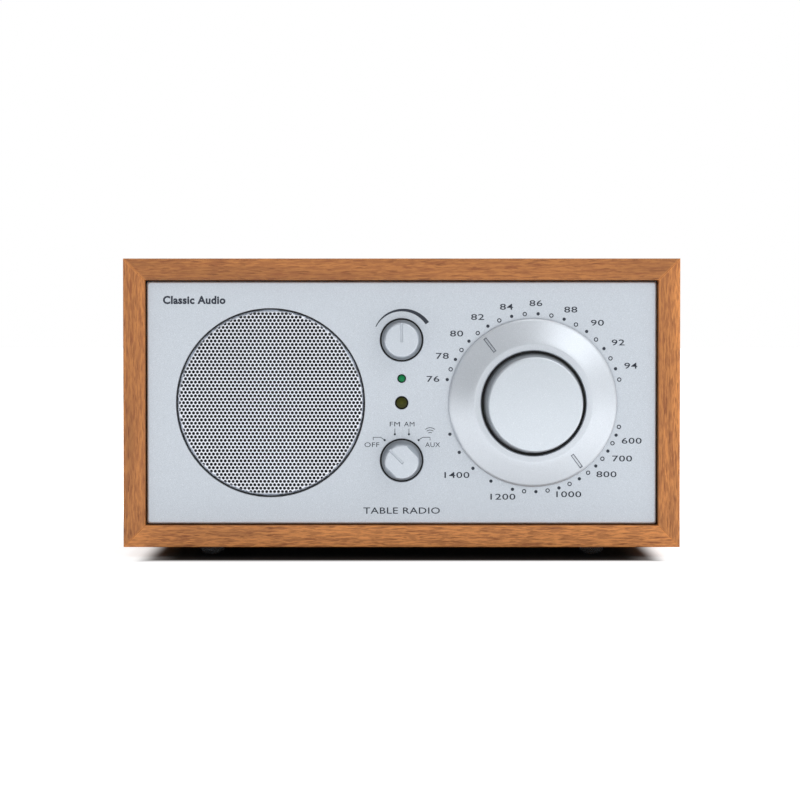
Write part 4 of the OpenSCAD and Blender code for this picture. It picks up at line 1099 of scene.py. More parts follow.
@dataclass
class Printing:
    """What is printed on the front: both scales, the volume wedge, the selector's marks and the name line."""

    proud: float = 0.03
    half: float = 0.024
    stroke: float = 0.22
    point: float = 0.42
    waves: tuple[float, float, float] = (0.9, 1.8, 2.7)
    wave_wide: float = 0.25
    dot_at: float = 34.15
    dot: float = 0.65
    ring: tuple[float, float] = (0.85, 0.47)
    wide: float = 1.6
    aside: float = 0.15
    upper_marks: dict[str, tuple[float, float]] = field(default_factory=lambda: {
        "76": (-76.6, 39.5), "78": (-62.7, 39.2), "80": (-47.9, 39.6), "82": (-33.0, 39.2),
        "84": (-15.6, 38.2), "86": (1.5, 38.2), "88": (21.9, 38.5), "90": (38.7, 39.3),
        "92": (54.6, 39.9), "94": (69.2, 40.0)})
    lower_marks: dict[str, tuple[float, float]] = field(default_factory=lambda: {
        "600": (111.1, 40.5), "700": (122.1, 40.3), "800": (134.3, 39.3), "1000": (158.7, 37.7),
        "1200": (197.8, 37.9), "1400": (226.5, 40.3)})
    face: float = field(init=False)
    middle: Vector = field(init=False)
    ink: Shape = field(init=False)

    def build(self) -> None:
        """Builds everything as one thin piece of ink."""
        self.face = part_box("faceplate")[0].y
        self.middle = middle_of("faceplate")
        self.ink = Shape()
        self.scales()
        self.wedge()
        self.selector_marks()
        self.words("TABLE RADIO", (0, -41.4), 2.45, 29.4, 0.008)
        self.words("Classic Audio", (-79.5, 39.4), 3.2, 24.0, 0.04)
        self.ink.finish("front_printing", INK, "chassis", sharp=60)

    def at(self, across: float, up: float) -> Vector:
        """Gives the point on the panel's face, from millimetres off its middle."""
        return Vector((self.middle.x + across * MM, self.face, self.middle.z + up * MM))

    def on_dial(self, turn: float, radius: float) -> Vector:
        """Gives the point on the face at a clockwise turn and a radius from the dial's axis."""
        axis = middle_of("dial_ring") + Vector((self.aside * MM, 0, 0))
        angle = math.radians(turn)
        out = radius * MM
        return Vector((axis.x + out * math.sin(angle), self.face, axis.z + out * math.cos(angle)))

    def stamp(self, shape: Shape, spot: Vector) -> None:
        """Lays a shape that stands on the origin on the face at a spot."""
        self.ink.join(shape.move(spot - Vector((0, self.proud * MM / 2, 0))))

    def disc(self, spot: Vector, radius: float) -> None:
        """Prints a dot."""
        self.stamp(Shape.rod(radius, 2 * self.half, 20), spot)

    def circle(self, spot: Vector, outer: float, inner: float) -> None:
        """Prints an open circle."""
        half = self.half
        self.stamp(Shape.spun([
            Corner(outer, -half), Corner(outer, half), Corner(inner, half), Corner(inner, -half),
        ], 24), spot)

    def line(self, start: tuple[float, float], end: tuple[float, float], wide: float) -> None:
        """Prints a straight line between two points on the panel, in millimetres."""
        first, last = self.at(*start), self.at(*end)
        run = last - first
        bar = Shape.block((run.length, 2 * self.half * MM, wide * MM))
        self.stamp(bar.move((0, 0, 0), -math.degrees(math.atan2(run.z, run.x))), (first + last) / 2)

    def words(self, text: str, spot: tuple[float, float] | Vector, height: float, width: float,
              heavy: float = 0) -> None:
        """Prints words or a number, upright.

        Args:
            text: What it says.
            spot: Its middle, in millimetres off the panel's middle, or a point on the face.
            height: Its capitals' height in millimetres.
            width: Its whole width in millimetres, or 0 for the letters' own.
            heavy: How much fatter its strokes are, in ems.
        """
        shape = lettering(text, height, width, self.half, heavy, self.wide)
        self.stamp(shape, self.at(*spot) if isinstance(spot, tuple) else spot)

    def scales(self) -> None:
        """Prints the dots, circles and numbers of both scales."""
        for mark in range(76, 96):
            u = (mark - 85.5) / 9.5
            turn = 74.9 * u + 2.2 * math.sin(math.pi * u) - 1.2 * math.cos(math.pi * u / 2)
            self.mark(turn, mark % 2 == 0)
        for mark in range(550, 1601, 50):
            u = (mark - 1075) / 525
            turn = 177.5 + 71.8 * u + 2.5 * math.sin(math.pi * u) - 3.1 * math.cos(math.pi * u / 2)
            if mark % 100 == 0 or mark <= 1150:
                self.mark(turn, mark % 100 == 0)
        for marks in (self.upper_marks, self.lower_marks):
            for text, (turn, radius) in marks.items():
                self.words(text, self.on_dial(turn, radius), 2.3, 0, 0.008)

    def mark(self, turn: float, full: bool) -> None:
        """Prints a dot or an open circle of a scale at a turn."""
        spot = self.on_dial(turn, self.dot_at)
        if full:
            self.disc(spot, self.dot)
        else:
            self.circle(spot, *self.ring)

    def wedge(self, start: float = -63, end: float = 57, inner: float = 10.95, thin: float = 0.32,
              thick: float = 1.6, steps: int = 60) -> None:
        """Prints the volume wedge round the upper knob.

        Args:
            start: Where it starts, in degrees clockwise from straight up.
            end: Where it ends.
            inner: Its inner radius in millimetres.
            thin: Its thickness at the start.
            thick: Its thickness at the end.
            steps: How many faces it has.
        """
        shape = Shape()
        bm = shape.mesh
        half = self.half * MM
        angle = math.radians(start)
        line = [bm.verts.new((r * MM * math.sin(angle), -half, r * MM * math.cos(angle)))
                for r in (inner, inner + 1)]
        edge = bm.edges.new(line)
        bmesh.ops.spin(bm, geom=[*line, edge], cent=(0, 0, 0), axis=(0, 1, 0), dvec=(0, 0, 0),
                       angle=math.radians(end - start), steps=steps, use_merge=False)
        for vert in bm.verts:
            if math.hypot(vert.co.x, vert.co.z) > (inner + 0.5) * MM:
                turn = math.degrees(math.atan2(vert.co.x, vert.co.z))
                goal = inner + thin + (thick - thin) * (turn - start) / (end - start)
                bmesh.ops.scale(bm, vec=(goal / (inner + 1), 1, goal / (inner + 1)), verts=[vert])
        made = bmesh.ops.extrude_face_region(bm, geom=bm.faces[:])["geom"]
        lifted = [g for g in made if isinstance(g, bmesh.types.BMVert)]
        bmesh.ops.translate(bm, vec=(0, 2 * half, 0), verts=lifted)
        bmesh.ops.recalc_face_normals(bm, faces=bm.faces)
        axis = middle_of("volume_knob")
        self.stamp(shape, Vector((axis.x, self.face, axis.z)))

    def selector_marks(self) -> None:
        """Prints the words and pointer lines round the lower knob."""
        self.words("OFF", (-11.4, -16.1), 1.8, 5.7)
        self.words("AUX", (11.9, -16.1), 1.8, 5.7)
        self.words("FM", (-2.6, -8.2), 1.75, 3.9)
        self.words("AM", (2.9, -8.2), 1.75, 4.0)
        for x in (-2.6, 2.8):
            self.line((x, -9.9), (x, -12.1), self.stroke)
            self.disc(self.at(x, -12.1), self.point)
        for side in (-1, 1):
            points = [(10.9, -14.4), (10.9, -13.25), (8.1, -13.25), (6.5, -14.3)]
            for first, second in zip(points, points[1:]):
                self.line((side * first[0], first[1]), (side * second[0], second[1]), self.stroke)
            self.disc(self.at(side * 6.5, -14.35), self.point)
        for radius in self.waves:
            self.arc((10.9, -12.4), radius, -40, 40)

    def arc(self, spot: tuple[float, float], radius: float, start: float, end: float) -> None:
        """Prints one arc of the wave mark, between two turns from straight up."""
        shape = Shape()
        bm = shape.mesh
        half = self.half * MM
        angle = math.radians(start)
        outer = radius + self.wave_wide
        ring = [(r * math.sin(angle) * MM, y, r * math.cos(angle) * MM)
                for r, y in ((radius, -half), (outer, -half), (outer, half), (radius, half))]
        face = bm.faces.new([bm.verts.new(point) for point in ring])
        bmesh.ops.spin(bm, geom=[face, *face.edges, *face.verts], cent=(0, 0, 0), axis=(0, 1, 0),
                       dvec=(0, 0, 0), angle=math.radians(end - start), steps=10, use_merge=False)
        bmesh.ops.recalc_face_normals(bm, faces=bm.faces)
        self.stamp(shape, self.at(*spot))


def lettering(text: str, height: float, width: float, half: float, heavy: float, wide: float) -> Shape:
    """Makes letters that stand on the XZ plane, facing -Y, their middle on the origin.

    Args:
        text: What they say.
        height: The capitals' height in millimetres.
        width: The whole width in millimetres, or 0 for the letters' own.
        half: Half of their thickness in millimetres.
        heavy: How much fatter their strokes are, in ems.
        wide: How much wider than drawn they are, when no width is given.

    Returns:
        The shape.
    """
    curve = bpy.data.curves.new("letters", "FONT")
    curve.body, curve.size, curve.offset, curve.resolution_u = text, 1, heavy, 3
    curve.extrude = 0.05
    curve.space_character = 1.06
    writer = bpy.data.objects.new("letters", curve)
    bpy.context.scene.collection.objects.link(writer)
    mesh = bpy.data.meshes.new_from_object(writer.evaluated_get(bpy.context.evaluated_depsgraph_get()))
    shape = Shape()
    shape.mesh.from_mesh(mesh)
    bpy.data.curves.remove(curve)
    bpy.data.meshes.remove(mesh)
    bmesh.ops.remove_doubles(shape.mesh, verts=shape.mesh.verts, dist=1e-4)
    xs = [v.co.x for v in shape.mesh.verts]
    ys = [v.co.y for v in shape.mesh.verts]
    rise = height * MM / (max(ys) - min(ys))
    run = width * MM / (max(xs) - min(xs)) if width else rise * wide
    bmesh.ops.translate(shape.mesh, vec=(-(max(xs) + min(xs)) / 2, -(max(ys) + min(ys)) / 2, 0),
                        verts=shape.mesh.verts)
    bmesh.ops.scale(shape.mesh, vec=(run, rise, half * MM / 0.05), verts=shape.mesh.verts)
    return shape.move((0, 0, 0), 90, "X")


@dataclass
class Grille:
    """A perforated steel cup: holes in a honeycomb that runs over the rolled edge."""

    pitch: float = 1.517
    hole: float = 0.62
    sides: int = 12
    sheet: float = 0.55
    bend_at: float = 34.9
    rows: int = 30
    around: int = 160
    slack: float = 0.1
    bend: float = field(init=False)

    def build(self) -> None:
        """Punches the sheet, bends its edge, and takes it back to the cup's rim."""
        low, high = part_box("speaker_grille")
        radius = (high.x - low.x) / 2 / MM
        self.bend = radius - self.bend_at
        shape = Shape()
        bm = shape.mesh
        rim = self.bend_at + self.bend * math.pi / 2
        self.punch(shape, rim - self.pitch / math.sqrt(3) - 0.05)
        bmesh.ops.remove_doubles(bm, verts=bm.verts, dist=0.01 * MM)
        outer = [e for e in bm.edges if e.is_boundary
                 and min(self.off_hole(v.co) for v in e.verts) > (self.hole + self.slack) * MM]
        ring = bmesh.ops.create_circle(bm, segments=self.around, radius=rim * MM, cap_ends=False)["verts"]
        bmesh.ops.rotate(bm, cent=(0, 0, 0), matrix=Matrix.Rotation(math.pi / 2, 3, "X"), verts=ring)
        around = list({e for v in ring for e in v.link_edges})
        bmesh.ops.triangle_fill(bm, edges=outer + around, use_beauty=True)
        made = bmesh.ops.extrude_edge_only(bm, edges=around)["geom"]
        skirt = [g for g in made if isinstance(g, bmesh.types.BMVert)]
        for vert in bm.verts:
            self.roll(vert)
        bmesh.ops.translate(bm, vec=(0, high.y - low.y - self.bend * MM, 0), verts=skirt)
        bmesh.ops.recalc_face_normals(bm, faces=bm.faces)
        middle = min(bm.faces, key=lambda f: f.calc_center_median().length)
        if middle.normal.y > 0:
            bmesh.ops.reverse_faces(bm, faces=bm.faces)
        bmesh.ops.solidify(bm, geom=bm.faces[:], thickness=self.sheet * MM)
        shape.move(((low.x + high.x) / 2, low.y, (low.z + high.z) / 2))
        shape.finish("punched_grille", GRILLE_STEEL, "chassis", ["speaker_grille"], sharp=35)

    def punch(self, shape: Shape, reach: float) -> None:
        """Lays honeycomb cells, each with a round hole, out to a radius.

        Args:
            shape: What they are laid in.
            reach: The furthest hole's middle from the axis, in millimetres.
        """
        cell = Shape()
        bm = cell.mesh
        turn = Matrix.Rotation(math.pi / 2, 3, "X")
        comb = bmesh.ops.create_circle(bm, segments=6, radius=self.pitch / math.sqrt(3) * MM,
                                       cap_ends=False)["verts"]
        comb_edges = list({e for v in comb for e in v.link_edges})
        bmesh.ops.subdivide_edges(bm, edges=comb_edges, cuts=1)
        outer = bm.edges[:]
        hole = bmesh.ops.create_circle(bm, segments=self.sides, radius=self.hole * MM,
                                       cap_ends=False)["verts"]
        inner = list({e for v in hole for e in v.link_edges})
        bmesh.ops.bridge_loops(bm, edges=outer + inner)
        bmesh.ops.rotate(bm, cent=(0, 0, 0), matrix=turn, verts=bm.verts)
        spare = bpy.data.meshes.new("cell")
        bm.to_mesh(spare)
        bm.free()
        row_step = self.pitch * math.sqrt(3) / 2
        steps = range(-self.rows, self.rows + 1)
        for row in steps:
            z = row * row_step
            if abs(z) > reach:
                continue
            offset = (row % 2) * self.pitch / 2
            for column in steps:
                x = offset + column * self.pitch
                if math.hypot(x, z) <= reach:
                    before = len(shape.mesh.verts)
                    shape.mesh.from_mesh(spare)
                    shape.mesh.verts.ensure_lookup_table()
                    for vert in shape.mesh.verts[before:]:
                        vert.co += Vector((x * MM, 0, z * MM))
        bpy.data.meshes.remove(spare)

    def off_hole(self, point: Vector) -> float:
        """Gives a point's distance from the nearest hole's middle, in metres."""
        row_step = self.pitch * math.sqrt(3) / 2 * MM
        row = round(point.z / row_step)
        best = 1.0
        for near in (row - 1, row, row + 1):
            offset = (near % 2) * self.pitch / 2 * MM
            column = round((point.x - offset) / (self.pitch * MM))
            gap = math.hypot(point.x - offset - column * self.pitch * MM, point.z - near * row_step)
            best = min(best, gap)
        return best

    def roll(self, vert: bmesh.types.BMVert) -> None:
        """Moves a point of the flat sheet to its place on the rolled edge."""
        radius = math.hypot(vert.co.x, vert.co.z)
        past = radius - self.bend_at * MM
        if past <= 0:
            return
        angle = min(past / (self.bend * MM), math.pi / 2)
        goal = (self.bend_at + self.bend * math.sin(angle)) * MM
        vert.co.x *= goal / radius
        vert.co.z *= goal / radius
        vert.co.y = self.bend * MM * (1 - math.cos(angle))


@dataclass
class Loudspeaker:
    """The drive unit behind the grille: cone, cap, surround and spider, and what holds them."""

    surround_wall: float = 0.5
    lap: float = 2.0
    outer_rim: float = 1.6
    inner_rim: float = 2.6
    spider_wall: float = 0.35
    folds: int = 4

    def build(self) -> None:
        """Builds the moving skins and dresses the rest."""
        self.surround()
        self.spider()
        Shape.copy_of("speaker_cone").finish("paper_cone", CONE_PAPER, "cone", ["speaker_cone"])
        Shape.copy_of("dust_cap").finish("cone_cap", CONE_PAPER, "cone", ["dust_cap"], sharp=40)
        dress(COPPER, "voice_coil")
        dress(FRAME_PAINT, "speaker_basket")
        dress(ZINC, "magnet_front_plate", "magnet_yoke")
        dress(FERRITE, "speaker_magnet")
        dress(LEAD_RED, "speaker_leads")

    def surround(self) -> None:
        """Builds the half-roll surround between the basket and the cone."""
        low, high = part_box("cone_surround")
        middle = (low + high) / 2
        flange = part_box("speaker_basket")[0].y
        outer = (high.x - low.x) / 2 / MM
        inner = span_of("speaker_cone").x / 2 / MM - self.lap
        crest = (flange - low.y) / MM - self.surround_wall / 2
        drop = (high.y - flange) / MM - self.surround_wall
        roll_out, roll_in = outer - self.outer_rim, inner + self.inner_rim
        shape = Shape.spun([
            Corner(outer - 0.1, -0.3), Corner(roll_out, -0.3, 0.2), Corner(roll_out, -crest, crest * 0.98),
            Corner(roll_in, -crest, crest * 0.98), Corner(roll_in, drop, 0.4), Corner(inner, drop),
        ], 128, self.surround_wall, 8)
        shape.move((middle.x, flange, middle.z))
        piece = shape.finish("roll_surround", FOAM, "chassis", ["cone_surround"], rides=False)
        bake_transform(piece)

    def spider(self) -> None:
        """Builds the corrugated cloth disc between the basket and the coil."""
        low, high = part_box("cone_spider")
        middle = (low + high) / 2
        outer = (high.x - low.x) / 2 / MM - 0.1
        inner = span_of("voice_coil").x / 2 / MM
        drop = (high.y - low.y) / MM - self.spider_wall
        corners = [Corner(outer, 0), Corner(outer - 2, 0, 0.3)]
        pitch = (outer - 2.4 - inner) / self.folds
        for fold in range(self.folds):
            radius = outer - 2 - pitch * (fold + 0.5)
            deep = -drop * (fold + 1) / self.folds
            corners += [Corner(radius + pitch * 0.25, deep, 0.3),
                        Corner(radius - pitch * 0.25, min(deep + drop * 0.22, 0), 0.3)]
        corners.append(Corner(inner + 0.1, -drop))
        shape = Shape.spun(corners, 96, self.spider_wall, 4)
        shape.move((middle.x, high.y - self.spider_wall * MM, middle.z))
        piece = shape.finish("cloth_spider", SPIDER, "chassis", ["cone_spider"], rides=False)
        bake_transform(piece)


# ---------- controls ----------


@dataclass
class SmallKnobs:
    """The volume knob and the selector knob, which has two grip flats."""

    back: float = 7.7
    shoulder: float = 7.15
    face: float = 6.4
    skirt: float = 1.9
    groove: float = 0.95
    deep: float = 0.65
    flat_at: float = 5.5
    flat_lean: float = 12
    cap: float = 1.6
    cavity: float = 6.3
    cavity_deep: float = 3.4
    selector_turn: float = -45

    def build(self) -> None:
        """Builds both knobs and dresses the controls behind them."""
        self.knob("volume_knob", "volume_cap", "volume_control", "volume_shaft", 0, False)
        self.knob("selector_knob", "selector_cap", "selector_control", "selector_shaft",
                  self.selector_turn, True)
        dress(ALUMINIUM, "volume_shaft", "selector_shaft")
        dress(ZINC, "control_nuts")
        dress(COMPONENT, "volume_pot", "selector_switch")
        dress(BOARD, "control_board")

    def knob(self, node: str, name: str, body: str, shaft: str, turn: float, flats: bool) -> None:
        """Builds one knob.

        Args:
            node: The CAD knob.
            name: The piece's name.
            body: The body that it rides on.
            shaft: The CAD shaft in its middle.
            turn: Its turn from straight up, clockwise in degrees.
            flats: Whether it has grip flats.
        """
        low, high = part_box(node)
        length = (high.y - low.y) / MM
        axis = middle_of(shaft)
        bore = span_of(shaft).x / 2 / MM
        shape = Shape.spun([
            Corner(0, 0), Corner(self.face, 0, 0.55), Corner(self.shoulder, length - self.skirt, 0.5),
            Corner(self.back, length - self.skirt + 0.5, 0.25), Corner(self.back, length, 0.15),
            Corner(self.cavity, length, 0.15), Corner(self.cavity, length - self.cavity_deep, 0.2),
            Corner(bore, length - self.cavity_deep), Corner(bore, self.cap), Corner(0, self.cap),
        ], 128)
        slot = Shape.block((self.groove * MM, 2 * self.deep * MM, (self.face + 1.2) * MM), 0.18)
        cutters = [slot.move((0, 0, (self.face - 0.4) / 2 * MM))]
        if flats:
            for side in (-1, 1):
                wall = Shape.block((4 * MM, (length - self.skirt - 0.4) * 2 * MM, 20 * MM), 0.2)
                wall.move((side * (self.flat_at + 2) * MM, 0, 0))
                bmesh.ops.rotate(wall.mesh, cent=(side * self.flat_at * MM, 0, 0),
                                 matrix=Matrix.Rotation(math.radians(-side * self.flat_lean), 3, "Z"),
                                 verts=wall.mesh.verts)
                cutters.append(wall)
        shape.cut(*cutters)
        shape.move((axis.x, low.y, axis.z), turn)
        shape.finish(name, SMALL_SILVER, body, [node], sharp=24)


@dataclass
class TuningDial:
    """The dial ring with its two pointer marks, the tuning knob inside it, and the drive behind."""

    bore: float = 20.0
    land_in: float = 20.3
    land_out: float = 22.6
    land: float = 5.8
    bevel: float = 0.5
    shoulder: float = 24.0
    cone_foot: float = 31.9
    foot_rise: float = 0.55
    rim: float = 1.3
    back: float = 0.5
    seat: float = 27.2
    mark_wide: float = 0.75
    mark_from: float = 24.5
    mark_to: float = 30.9
    mark_deep: float = 0.3
    # The dark line round each mark is painted shade.
    line: float = 0.26
    line_proud: float = 0.05
    mark_turn: float = -36.9
    knob_edge: float = 0.6
    crown: float = 0.6

    def build(self) -> None:
        """Builds the ring and the knob, and dresses the drive."""
        self.dial_ring()
        self.tuning_knob()
        dress(BLACK, "dial_hub")
        dress(ACETAL, "planet_carrier", "carrier_plate", "planet_gear_a", "planet_gear_b", "planet_gear_c",
              "ring_gear")
        dress(ALUMINIUM, "capacitor_case")
        dress(BRASS, "capacitor_stator", "capacitor_rotor")
        dress(ZINC, "tuning_shaft", "tuner_bracket")

    def dial_ring(self) -> None:
        """Builds the coned ring, sinks its marks, and lays the painted shade lines round them."""
        low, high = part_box("dial_ring")
        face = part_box("faceplate")[0].y
        outer = (high.x - low.x) / 2 / MM
        flange = (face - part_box("dial_hub")[0].y) / MM
        shape = Shape.spun([
            Corner(self.bore, -flange), Corner(self.bore, -self.land + 0.25, 0.1),
            Corner(self.land_in, -self.land, 0.1), Corner(self.land_out, -self.land, 0.35),
            Corner(self.shoulder, -self.land + self.bevel, 0.7),
            Corner(self.cone_foot - 0.3, -self.rim - self.foot_rise, 0.5),
            Corner(outer, -self.rim + 0.1, 0.3),
            Corner(outer, -self.back, 0.1), Corner(self.seat, -self.back), Corner(self.seat, -flange),
        ], 256, rounds=6)
        turns = (self.mark_turn, self.mark_turn + 180)
        shape.cut(*(self.mark(turn) for turn in turns))
        axis = (low + high) / 2
        shape.move((axis.x, face, axis.z))
        shape.finish("dial_cone", DIAL_SILVER, "dial", ["dial_ring"], sharp=30)
        mark_shade_lines = Shape()
        for turn in turns:
            mark_shade_lines.join(self.outline(turn))
        mark_shade_lines.move((axis.x, face, axis.z)).finish("dial_mark_shade", MARK_SHADE_INK, "dial", sharp=60)

    def mark(self, turn: float) -> Shape:
        """Makes the cutter of one sunken mark, lying along the cone.

        Args:
            turn: Where the mark is, in degrees clockwise from straight up.

        Returns:
            The cutter.
        """
        length = self.mark_to - self.mark_from
        shape = Shape.block((self.mark_wide * MM, 2 * self.mark_deep * MM, length * MM))
        ends = [e for e in shape.mesh.edges if abs(e.verts[0].co.y - e.verts[1].co.y) > self.mark_deep * MM]
        shape.ease(ends, self.mark_wide * 0.2, 3)
        return self.on_cone(shape, turn)

    def outline(self, turn: float) -> Shape:
        """Makes the dark line round one mark, a little proud of the cone: painted shade standing in for the
        shade on the mark's sunken walls.
        """
        shape = Shape()
        half = self.mark_wide / 2 + self.line
        reach = (self.mark_to - self.mark_from) / 2 + self.line
        thick = 2 * self.line_proud * MM
        for side in (-1, 1):
            wall = Shape.block((self.line * MM, thick, 2 * reach * MM))
            shape.join(wall.move((side * (half - self.line / 2) * MM, 0, 0)))
            end = Shape.block(((2 * half - 2 * self.line) * MM, thick, self.line * MM))
            shape.join(end.move((0, 0, side * (reach - self.line / 2) * MM)))
        return self.on_cone(shape, turn)

    def on_cone(self, shape: Shape, turn: float) -> Shape:
        """Lays a shape that stands on the origin on the middle of the cone, at a turn."""
        run = self.cone_foot - self.shoulder
        fall = (self.land - self.bevel) - (self.rim + self.foot_rise)
        middle = (self.mark_from + self.mark_to) / 2
        deep = -self.land + self.bevel + fall * (middle - self.shoulder) / run
        shape.move((0, 0, 0), -math.degrees(math.atan2(fall, run)), "X")
        shape.move((0, deep * MM, middle * MM))
        return shape.move((0, 0, 0), turn)

    def tuning_knob(self) -> None:
        """Builds the large knob, with its bore."""
        low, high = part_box("tuning_knob")
        base = (high.x - low.x) / 2 / MM
        length = (high.y - low.y) / MM
        front = base - 1.5
        shape = Shape.spun([
            Corner(0, 0), Corner(front * 0.35, self.crown * 0.12), Corner(front * 0.7, self.crown * 0.49),
            Corner(front, self.crown, self.knob_edge), Corner(base, length - 0.3, 0.3),
            Corner(base - 0.4, length, 0.2), Corner(0, length),
        ], 192, rounds=6)
        axis = (low + high) / 2
        shape.move((axis.x, low.y, axis.z))
        shape.finish("tuning_cap", KNOB_SILVER, "tuning_control", ["tuning_knob"], sharp=24)


@dataclass
class Lights:
    """The two indicator lights between the knobs."""

    dome: float = 0.35

    def build(self) -> None:
        """Builds both lenses."""
        self.lens("power_led", "green_light", GREEN_LENS)
        self.lens("tuning_led", "amber_light", AMBER_LENS)

    def lens(self, node: str, name: str, finish: Finish) -> None:
        """Builds a lens with a low dome.

        Args:
            node: The CAD light.
            name: The piece's name.
            finish: What it is made of.
        """
        low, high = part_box(node)
        length = (high.y - low.y) / MM
        wide = (high.x - low.x) / 2 / MM
        barrel = wide - LENS_FLANGE
        shape = Shape.spun([
            Corner(0, 0), Corner(barrel * 0.45, 0.04, 0.3), Corner(barrel * 0.82, self.dome * 0.5, 0.2),
            Corner(barrel, self.dome * 1.5, 0.2), Corner(barrel, length - 1, 0), Corner(wide, length - 1, 0),
            Corner(wide, length, 0), Corner(0, length),
        ], 48)
        axis = (low + high) / 2
        shape.move((axis.x, low.y, axis.z))
        shape.finish(name, finish, "chassis", [node])


# ---------- rear and inside ----------


@dataclass
class RearPanel:
    """The moulded rear panel with its sockets, screws and plain labels."""

    ease: float = 0.3
    proud: float = 0.04
    letters: float = 2.0
    letters_wide: float = 1.1
    above_jacks: float = 9
    above_aerial: float = 10.5
    above_switch: float = 6
    beside_switch: float = 2
    above_inlet: float = 11

    def build(self) -> None:
        """Builds what shows at the back."""
        parts = [
            ("rear_panel", "back_panel", REAR_BLACK, self.ease), ("rear_screws", "back_screws", ZINC, 0.12),
            ("mains_inlet", "inlet_housing", BLACK, 0.25), ("audio_jacks", "jack_sockets", COMPONENT, 0.15),
            ("aerial_socket", "aerial_jack", NICKEL, 0.1),
        ]
        for node, name, finish, edge in parts:
            Shape.copy_of(node, edge).finish(name, finish, "chassis", [node])
        slider = Shape.copy_of("aerial_switch_slider", 0.2)
        slider.finish("switch_slider", COMPONENT, "aerial_switch", ["aerial_switch_slider"])
        dress(BOARD, "rear_board")
        self.labels()

    def labels(self) -> None:
        """Prints what each socket is."""
        ink = Shape()
        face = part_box("rear_panel")[1].y
        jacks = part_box("audio_jacks")
        reach = (jacks[1].x - jacks[0].x) / 2
        centre = (jacks[1].x + jacks[0].x) / 2
        pitch = reach - span_of("aerial_switch_slider").x
        height = middle_of("audio_jacks").z + self.above_jacks * MM
        words = [(centre + pitch, height, "AUX IN"), (centre, height, "REC OUT"),
                 (centre - pitch, height, "PHONES")]
        aerial = middle_of("aerial_socket")
        switch = middle_of("aerial_switch_slider")
        inlet = middle_of("mains_inlet")
        words += [(aerial.x, aerial.z + self.above_aerial * MM, "FM AERIAL"),
                  (switch.x + self.beside_switch * MM, switch.z + self.above_switch * MM, "EXT   INT"),
                  (inlet.x, inlet.z + self.above_inlet * MM, "MAINS")]
        for x, z, text in words:
            label = lettering(text, self.letters, 0, self.proud / 2, 0, self.letters_wide)
            ink.join(label.move((0, 0, 0), 180, "Z").move((x, face, z)))
        ink.finish("back_labels", REAR_INK, "chassis", sharp=60)


@dataclass
class Electronics:
    """What is fixed inside the cabinet."""

    def build(self) -> None:
        """Dresses the boards, the aerial rod and the transformer."""
        dress(BOARD, "main_board")
        dress(COMPONENT, "board_parts")
        dress(FERRITE, "ferrite_rod")
        dress(AERIAL_TURNS, "aerial_coil")
        dress(NYLON, "rod_holders")
        dress(STACK, "transformer_core")
        dress(COIL_TAPE, "transformer_coil")


# ---------- studio ----------


class SoftLight(NamedTuple):
    """A square soft light: its name, its place and its side in metres, and its power in watts."""

    name: str
    at: Place
    size: float
    power: float


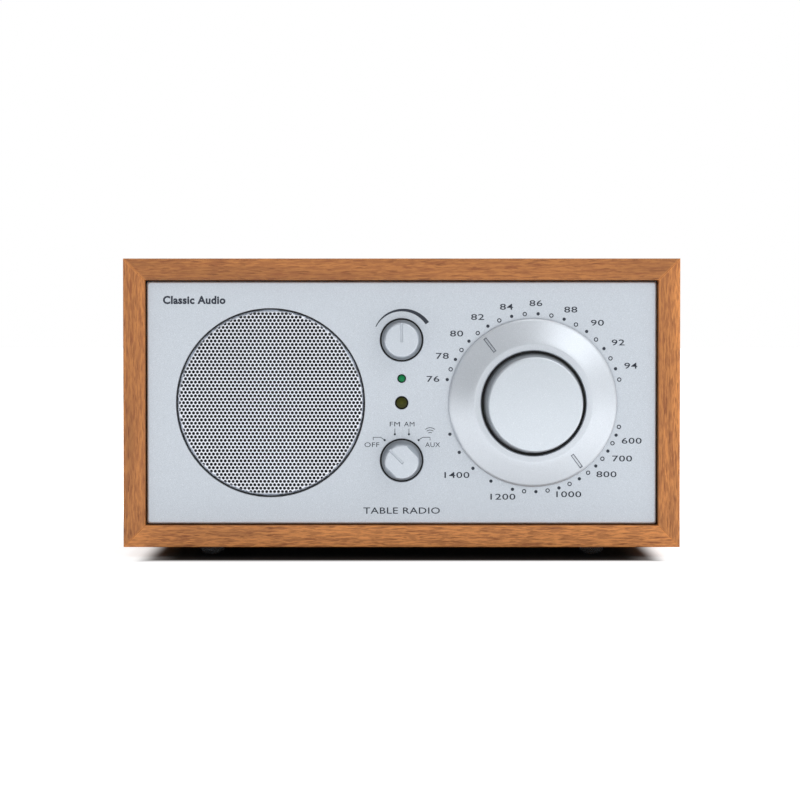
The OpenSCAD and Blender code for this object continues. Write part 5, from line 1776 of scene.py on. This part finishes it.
@dataclass
class Studio:
    """A pale floor that fades to white through painted glow, with a painted shadow under the radio, soft
    lights, and the camera.
    """

    lights: tuple[SoftLight, ...] = (
        SoftLight("key", (0.75, -0.95, 0.95), 0.8, 3.0), SoftLight("top", (0.15, 0.1, 1.3), 1.1, 6),
        SoftLight("rim", (-0.3, 1.2, 0.8), 0.9, 4),
    )
    camera_at: Place = (0.0, -0.8755, 0.091)
    aim: Place = (-0.00063, -0.0505, 0.0766)
    lens: float = 97.15
    sensor: float = 36
    lowered: float = -0.0536
    floor_reach: float = 6.0
    # The floor's painted light and painted shadow: glow far off and near the radio, its darker colour near
    # the radio, and the shadow's colour under it.
    far_painted_glow: Rgb = (0.95, 0.95, 0.95)
    near_painted_glow: Rgb = (0.6, 0.6, 0.6)
    near_tone: Rgb = (0.28, 0.28, 0.28)
    shadow_tone: Rgb = (0.005, 0.005, 0.005)

    def build(self) -> None:
        """Sets the studio up."""
        self.floor()
        self.sky()
        for light in self.lights:
            self.hang(light)
        self.camera()
        bpy.context.scene.view_settings.view_transform = "Standard"

    def floor(self) -> None:
        """Lays a round floor with painted light: it glows lighter away from the radio, dimmer on the left,
        and has a painted shadow under the radio.
        """
        shape = Shape()
        bmesh.ops.create_circle(shape.mesh, cap_ends=True, segments=96, radius=self.floor_reach)
        floor = shape.to_object("floor")
        sheet = NodeSheet(bpy.data.materials.new("studio_floor"))
        across, deep, _ = sheet.parts(sheet.place)
        beside = abs(across) - CABINET_HALF.x
        before = abs(deep - CABINET_MIDDLE.y) - CABINET_HALF.y
        # Painted light: the floor glows through its emission, none beside and under the radio, brighter away
        # from it.
        away = sheet.fade(beside, -14 * MM, -4 * MM).most(sheet.fade(before, 9 * MM, 18 * MM))
        near = 1 - sheet.fade(beside.most(before), 10 * MM, 70 * MM)
        # Painted shade: the far glow is a little dimmer on the left.
        left = 1 - sheet.fade(across, -60 * MM, 60 * MM)
        bright = sheet.mix(left * 0.16, self.far_painted_glow, (0, 0, 0))
        glow = sheet.mix(away, (0, 0, 0), sheet.mix(near, self.near_painted_glow, bright))
        # Painted shadow: under the radio the floor's colour goes near black.
        under = (1 - sheet.fade(before, 8 * MM, 14 * MM)) * (1 - sheet.fade(beside, -22 * MM, -5 * MM))
        grain = sheet.noise(25, 2, 0.5)
        tone = sheet.mix(grain, (0.925, 0.925, 0.93), (0.94, 0.94, 0.945))
        # Near the radio the floor's colour is darker, and the painted glow lights it instead.
        tone = sheet.mix(near, tone, self.near_tone)
        tone = sheet.mix(under, tone, self.shadow_tone)
        sheet.feed(Base_Color=tone, Roughness=0.7, Specular_IOR_Level=0.1, Emission_Color=glow,
                   Emission_Strength=1)
        floor.data.materials.append(sheet.made)

    def sky(self) -> None:
        """Lights the room softly: white round the horizon, brighter high on the right than on the left."""
        world = bpy.data.worlds.new("studio_sky")
        bpy.context.scene.world = world
        sheet = NodeSheet(world, "Generated")
        right, _, up = sheet.parts(sheet.place)
        high = sheet.fade(up, 0.16, 0.34)
        ring = 0.20 + 0.80 * sheet.fade(right, -0.8, -0.2)
        dome = 0.58 + 0.50 * sheet.fade(right, -0.3, 1.0)
        sheet.feed(Color=sheet.mix(ring * (1 - high) + dome * high, (0, 0, 0), (1, 1, 1)), Strength=1.0)

    def hang(self, light: SoftLight) -> None:
        """Hangs a soft light that faces the radio."""
        lamp = bpy.data.lights.new(light.name, "AREA")
        lamp.size, lamp.energy = light.size, light.power
        made = bpy.data.objects.new(light.name, lamp)
        made.location = light.at
        made.rotation_euler = (CABINET_MIDDLE - Vector(light.at)).to_track_quat("-Z", "Y").to_euler()
        bpy.context.scene.collection.objects.link(made)

    def camera(self) -> None:
        """Sets the camera in front of the radio, a little above its middle."""
        lens = bpy.data.cameras.new("camera")
        lens.lens, lens.sensor_width, lens.shift_y = self.lens, self.sensor, self.lowered
        made = bpy.data.objects.new("camera", lens)
        made.location = self.camera_at
        made.rotation_euler = (Vector(self.aim) - Vector(self.camera_at)).to_track_quat("-Z", "Y").to_euler()
        bpy.context.scene.collection.objects.link(made)
        bpy.context.scene.camera = made


def main() -> None:
    """Builds the radio piece by piece, then the studio."""
    logging.basicConfig(level=logging.INFO, format="%(name)s: %(message)s")
    for part in (Cabinet(), FrontPanel(), Printing(), Grille(), Loudspeaker(), SmallKnobs(), TuningDial(),
                 Lights(), RearPanel(), Electronics(), Studio()):
        log.info("building %s", type(part).__name__)
        part.build()


if __name__ == "__main__":
    main()
